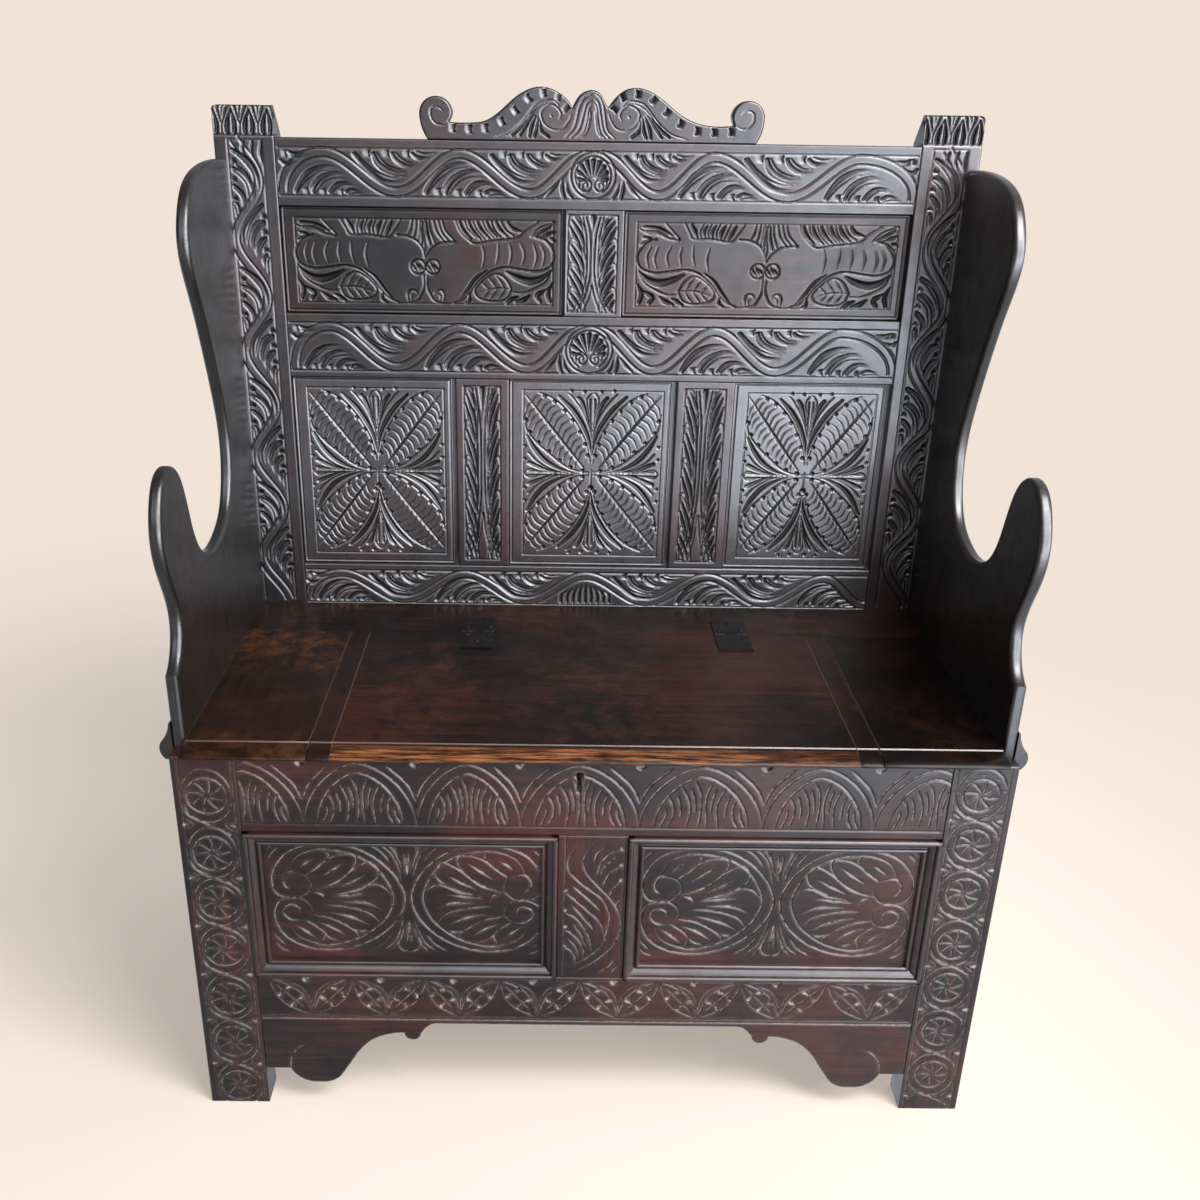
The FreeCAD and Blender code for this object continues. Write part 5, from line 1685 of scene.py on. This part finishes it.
NAILS = nail_tree(iron)
for owner, body in (("seat", "carcase"), ("lid", "lid")):
    node = "hinge_nails_" + owner
    places = [(x, y, z - HEAD_HIGH) for x, y, z in nail_places(node)]
    mesh = bpy.data.meshes.new(node + "_places")
    mesh.from_pydata(places, [], [])
    piece = added("hinge_nail_heads_" + owner, mesh)
    modifier = piece.modifiers.new("nails", "NODES")
    modifier.node_group = NAILS
    for item in NAILS.interface.items_tree:
        if item.name == "Shank length":
            modifier[item.identifier] = max(0.004, places[0][2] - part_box(node)[0][2])
        elif item.name == "Seed":
            modifier[item.identifier] = 7 if owner == "seat" else 8
    evaluated = piece.evaluated_get(bpy.context.evaluated_depsgraph_get())
    solid = bpy.data.meshes.new_from_object(evaluated)
    piece.modifiers.clear()
    piece.data = solid
    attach(piece, body)
    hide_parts(node)
    print(len(places), "nails on the", owner, "side:", len(solid.polygons), "faces")

# %% [markdown]
# ## Floor, light and camera
#
# The floor runs back and fades into the same pale tone as the world, so no horizon shows. Two large soft
# lamps shine from the right, one from above and one from the side. The polish also sees a bright room there:
# the floor and the world answer glossy rays with a window's glow, and other rays with an even fill. The camera
# stands a little left of the middle, at eye height, and looks down at the seat.

# %% Pale floor and backdrop
PALE = rgb("f1e3d6")
DAYLIGHT = rgb("e9effa")
WINDOW_POWER = 13.0
CAMERA_RAY, GLOSSY = 0, 3


def light_path(out):
    """One of the answers of the Light Path node, by the number of its output."""
    return Socket.node("ShaderNodeLightPath", None, None, out=out)


def mix_shader(factor, a, b):
    return Socket.node("ShaderNodeMixShader", None, {0: factor, 1: a, 2: b})


def floor_finish():
    """Takes the shadow of the settle, fades far away, and shows the polish a bright room to the right."""
    material, shader, place = new_finish("pale_floor")
    shader.inputs["Roughness"].default_value = 0.9
    shader.inputs["Specular IOR Level"].default_value = 0.1
    x, y, _ = axes(place)
    shader.inputs["Base Color"].default_value = PALE
    far = Socket.node("ShaderNodeVectorMath", {"operation": "LENGTH"}, {0: place}, out=1).map(1.1, 2.6)
    glow = Socket.node("ShaderNodeEmission", None, {"Color": PALE, "Strength": 1.0})
    sunny = x.map(0.35, 1.3) * 0.4
    share = (far * (0.55 - sunny) + sunny + 0.45) * light_path(CAMERA_RAY)
    blend = mix_shader(share, Socket(shader.outputs[0]), glow)
    side = (x / (0.45 - y)).map(-0.12, 0.42)
    ahead = (0 - y).map(0.6, 2.8)
    bright = 0.045 + side * 0.035 + ahead * side * 0.90 + ahead * 0.02
    room = Socket.node("ShaderNodeEmission", None,
                       {"Color": tint(DAYLIGHT, bright), "Strength": WINDOW_POWER})
    whole = mix_shader(light_path(GLOSSY), blend, room)
    plug(material.node_tree.nodes["Material Output"], Surface=whole)
    return material


mesh = bpy.data.meshes.new("floor")
mesh.from_pydata([(-40, -40, 0), (40, -40, 0), (40, 40, 0), (-40, 40, 0)], [], [(0, 1, 2, 3)])
floor = added("floor", mesh)
dress(floor, floor_finish())

world = bpy.data.worlds.new("studio")
bpy.context.scene.world = world
world.use_nodes = True
Socket.tree = world.node_tree
backdrop = Socket.node("ShaderNodeBackground", None, {"Color": PALE, "Strength": 1.0})
x, y, z = axes(Socket.node("ShaderNodeTexCoord"))
fill = Socket.node("ShaderNodeBackground", None,
                   {"Color": tint(rgb("eef2f8"), x.map(-0.6, 0.5, 0.08, 1.0)),
                                                  "Strength": 1.0})
window = x.map(0.0, 0.45) * (0 - y).map(0.1, 0.6) * z.map(0.75, 0.2)
above = z.map(0.12, 0.42) * (0 - y).map(0.4, 0.85) * x.map(-0.5, 0.0)
glow = window * 0.70 + above * 0.40 + x.map(-0.5, 0.5, 0.015, 0.045)
sky = Socket.node("ShaderNodeBackground", None, {"Color": tint(DAYLIGHT, glow), "Strength": WINDOW_POWER})
both = mix_shader(light_path(CAMERA_RAY), mix_shader(light_path(GLOSSY), fill, sky), backdrop)
plug(world.node_tree.nodes["World Output"], Surface=both)


# %% Soft lamps
def lamp(name, place, aim, size, power):
    light = bpy.data.lights.new(name, "AREA")
    light.shape = "RECTANGLE"
    light.size, light.size_y = size
    light.energy = power
    thing = added(name, light)
    thing.location = place
    thing.rotation_euler = (Vector(aim) - Vector(place)).to_track_quat("-Z", "Y").to_euler()


lamp("overhead", (1.05, -1.3, 2.8), (0, 0.1, 0.6), (1.3, 1.0), 85)
lamp("from_right", (2.1, -1.7, 2.3), (0, 0.1, 0.7), (1.2, 1.6), 60)

# %% Camera
CAMERA_PLACE = Vector((-0.0547, -1.4108, 1.1925))
LOOK = Vector((0.00543, 0.92047, -0.39078)).normalized()
RIGHT = Vector((0.9999, 0.00008, 0.01408)).normalized()
camera_data = bpy.data.cameras.new("camera")
camera_data.lens = 36.05
camera_data.sensor_width = 36.0
camera_data.shift_x = 0.0375
camera_data.shift_y = 0.0102
camera = added("camera", camera_data)
up = RIGHT.cross(LOOK)
camera.matrix_world = Matrix.Translation(CAMERA_PLACE) @ Matrix((RIGHT, up, -LOOK)).transposed().to_4x4()
bpy.context.scene.camera = camera
bpy.context.scene.view_settings.view_transform = "Standard"
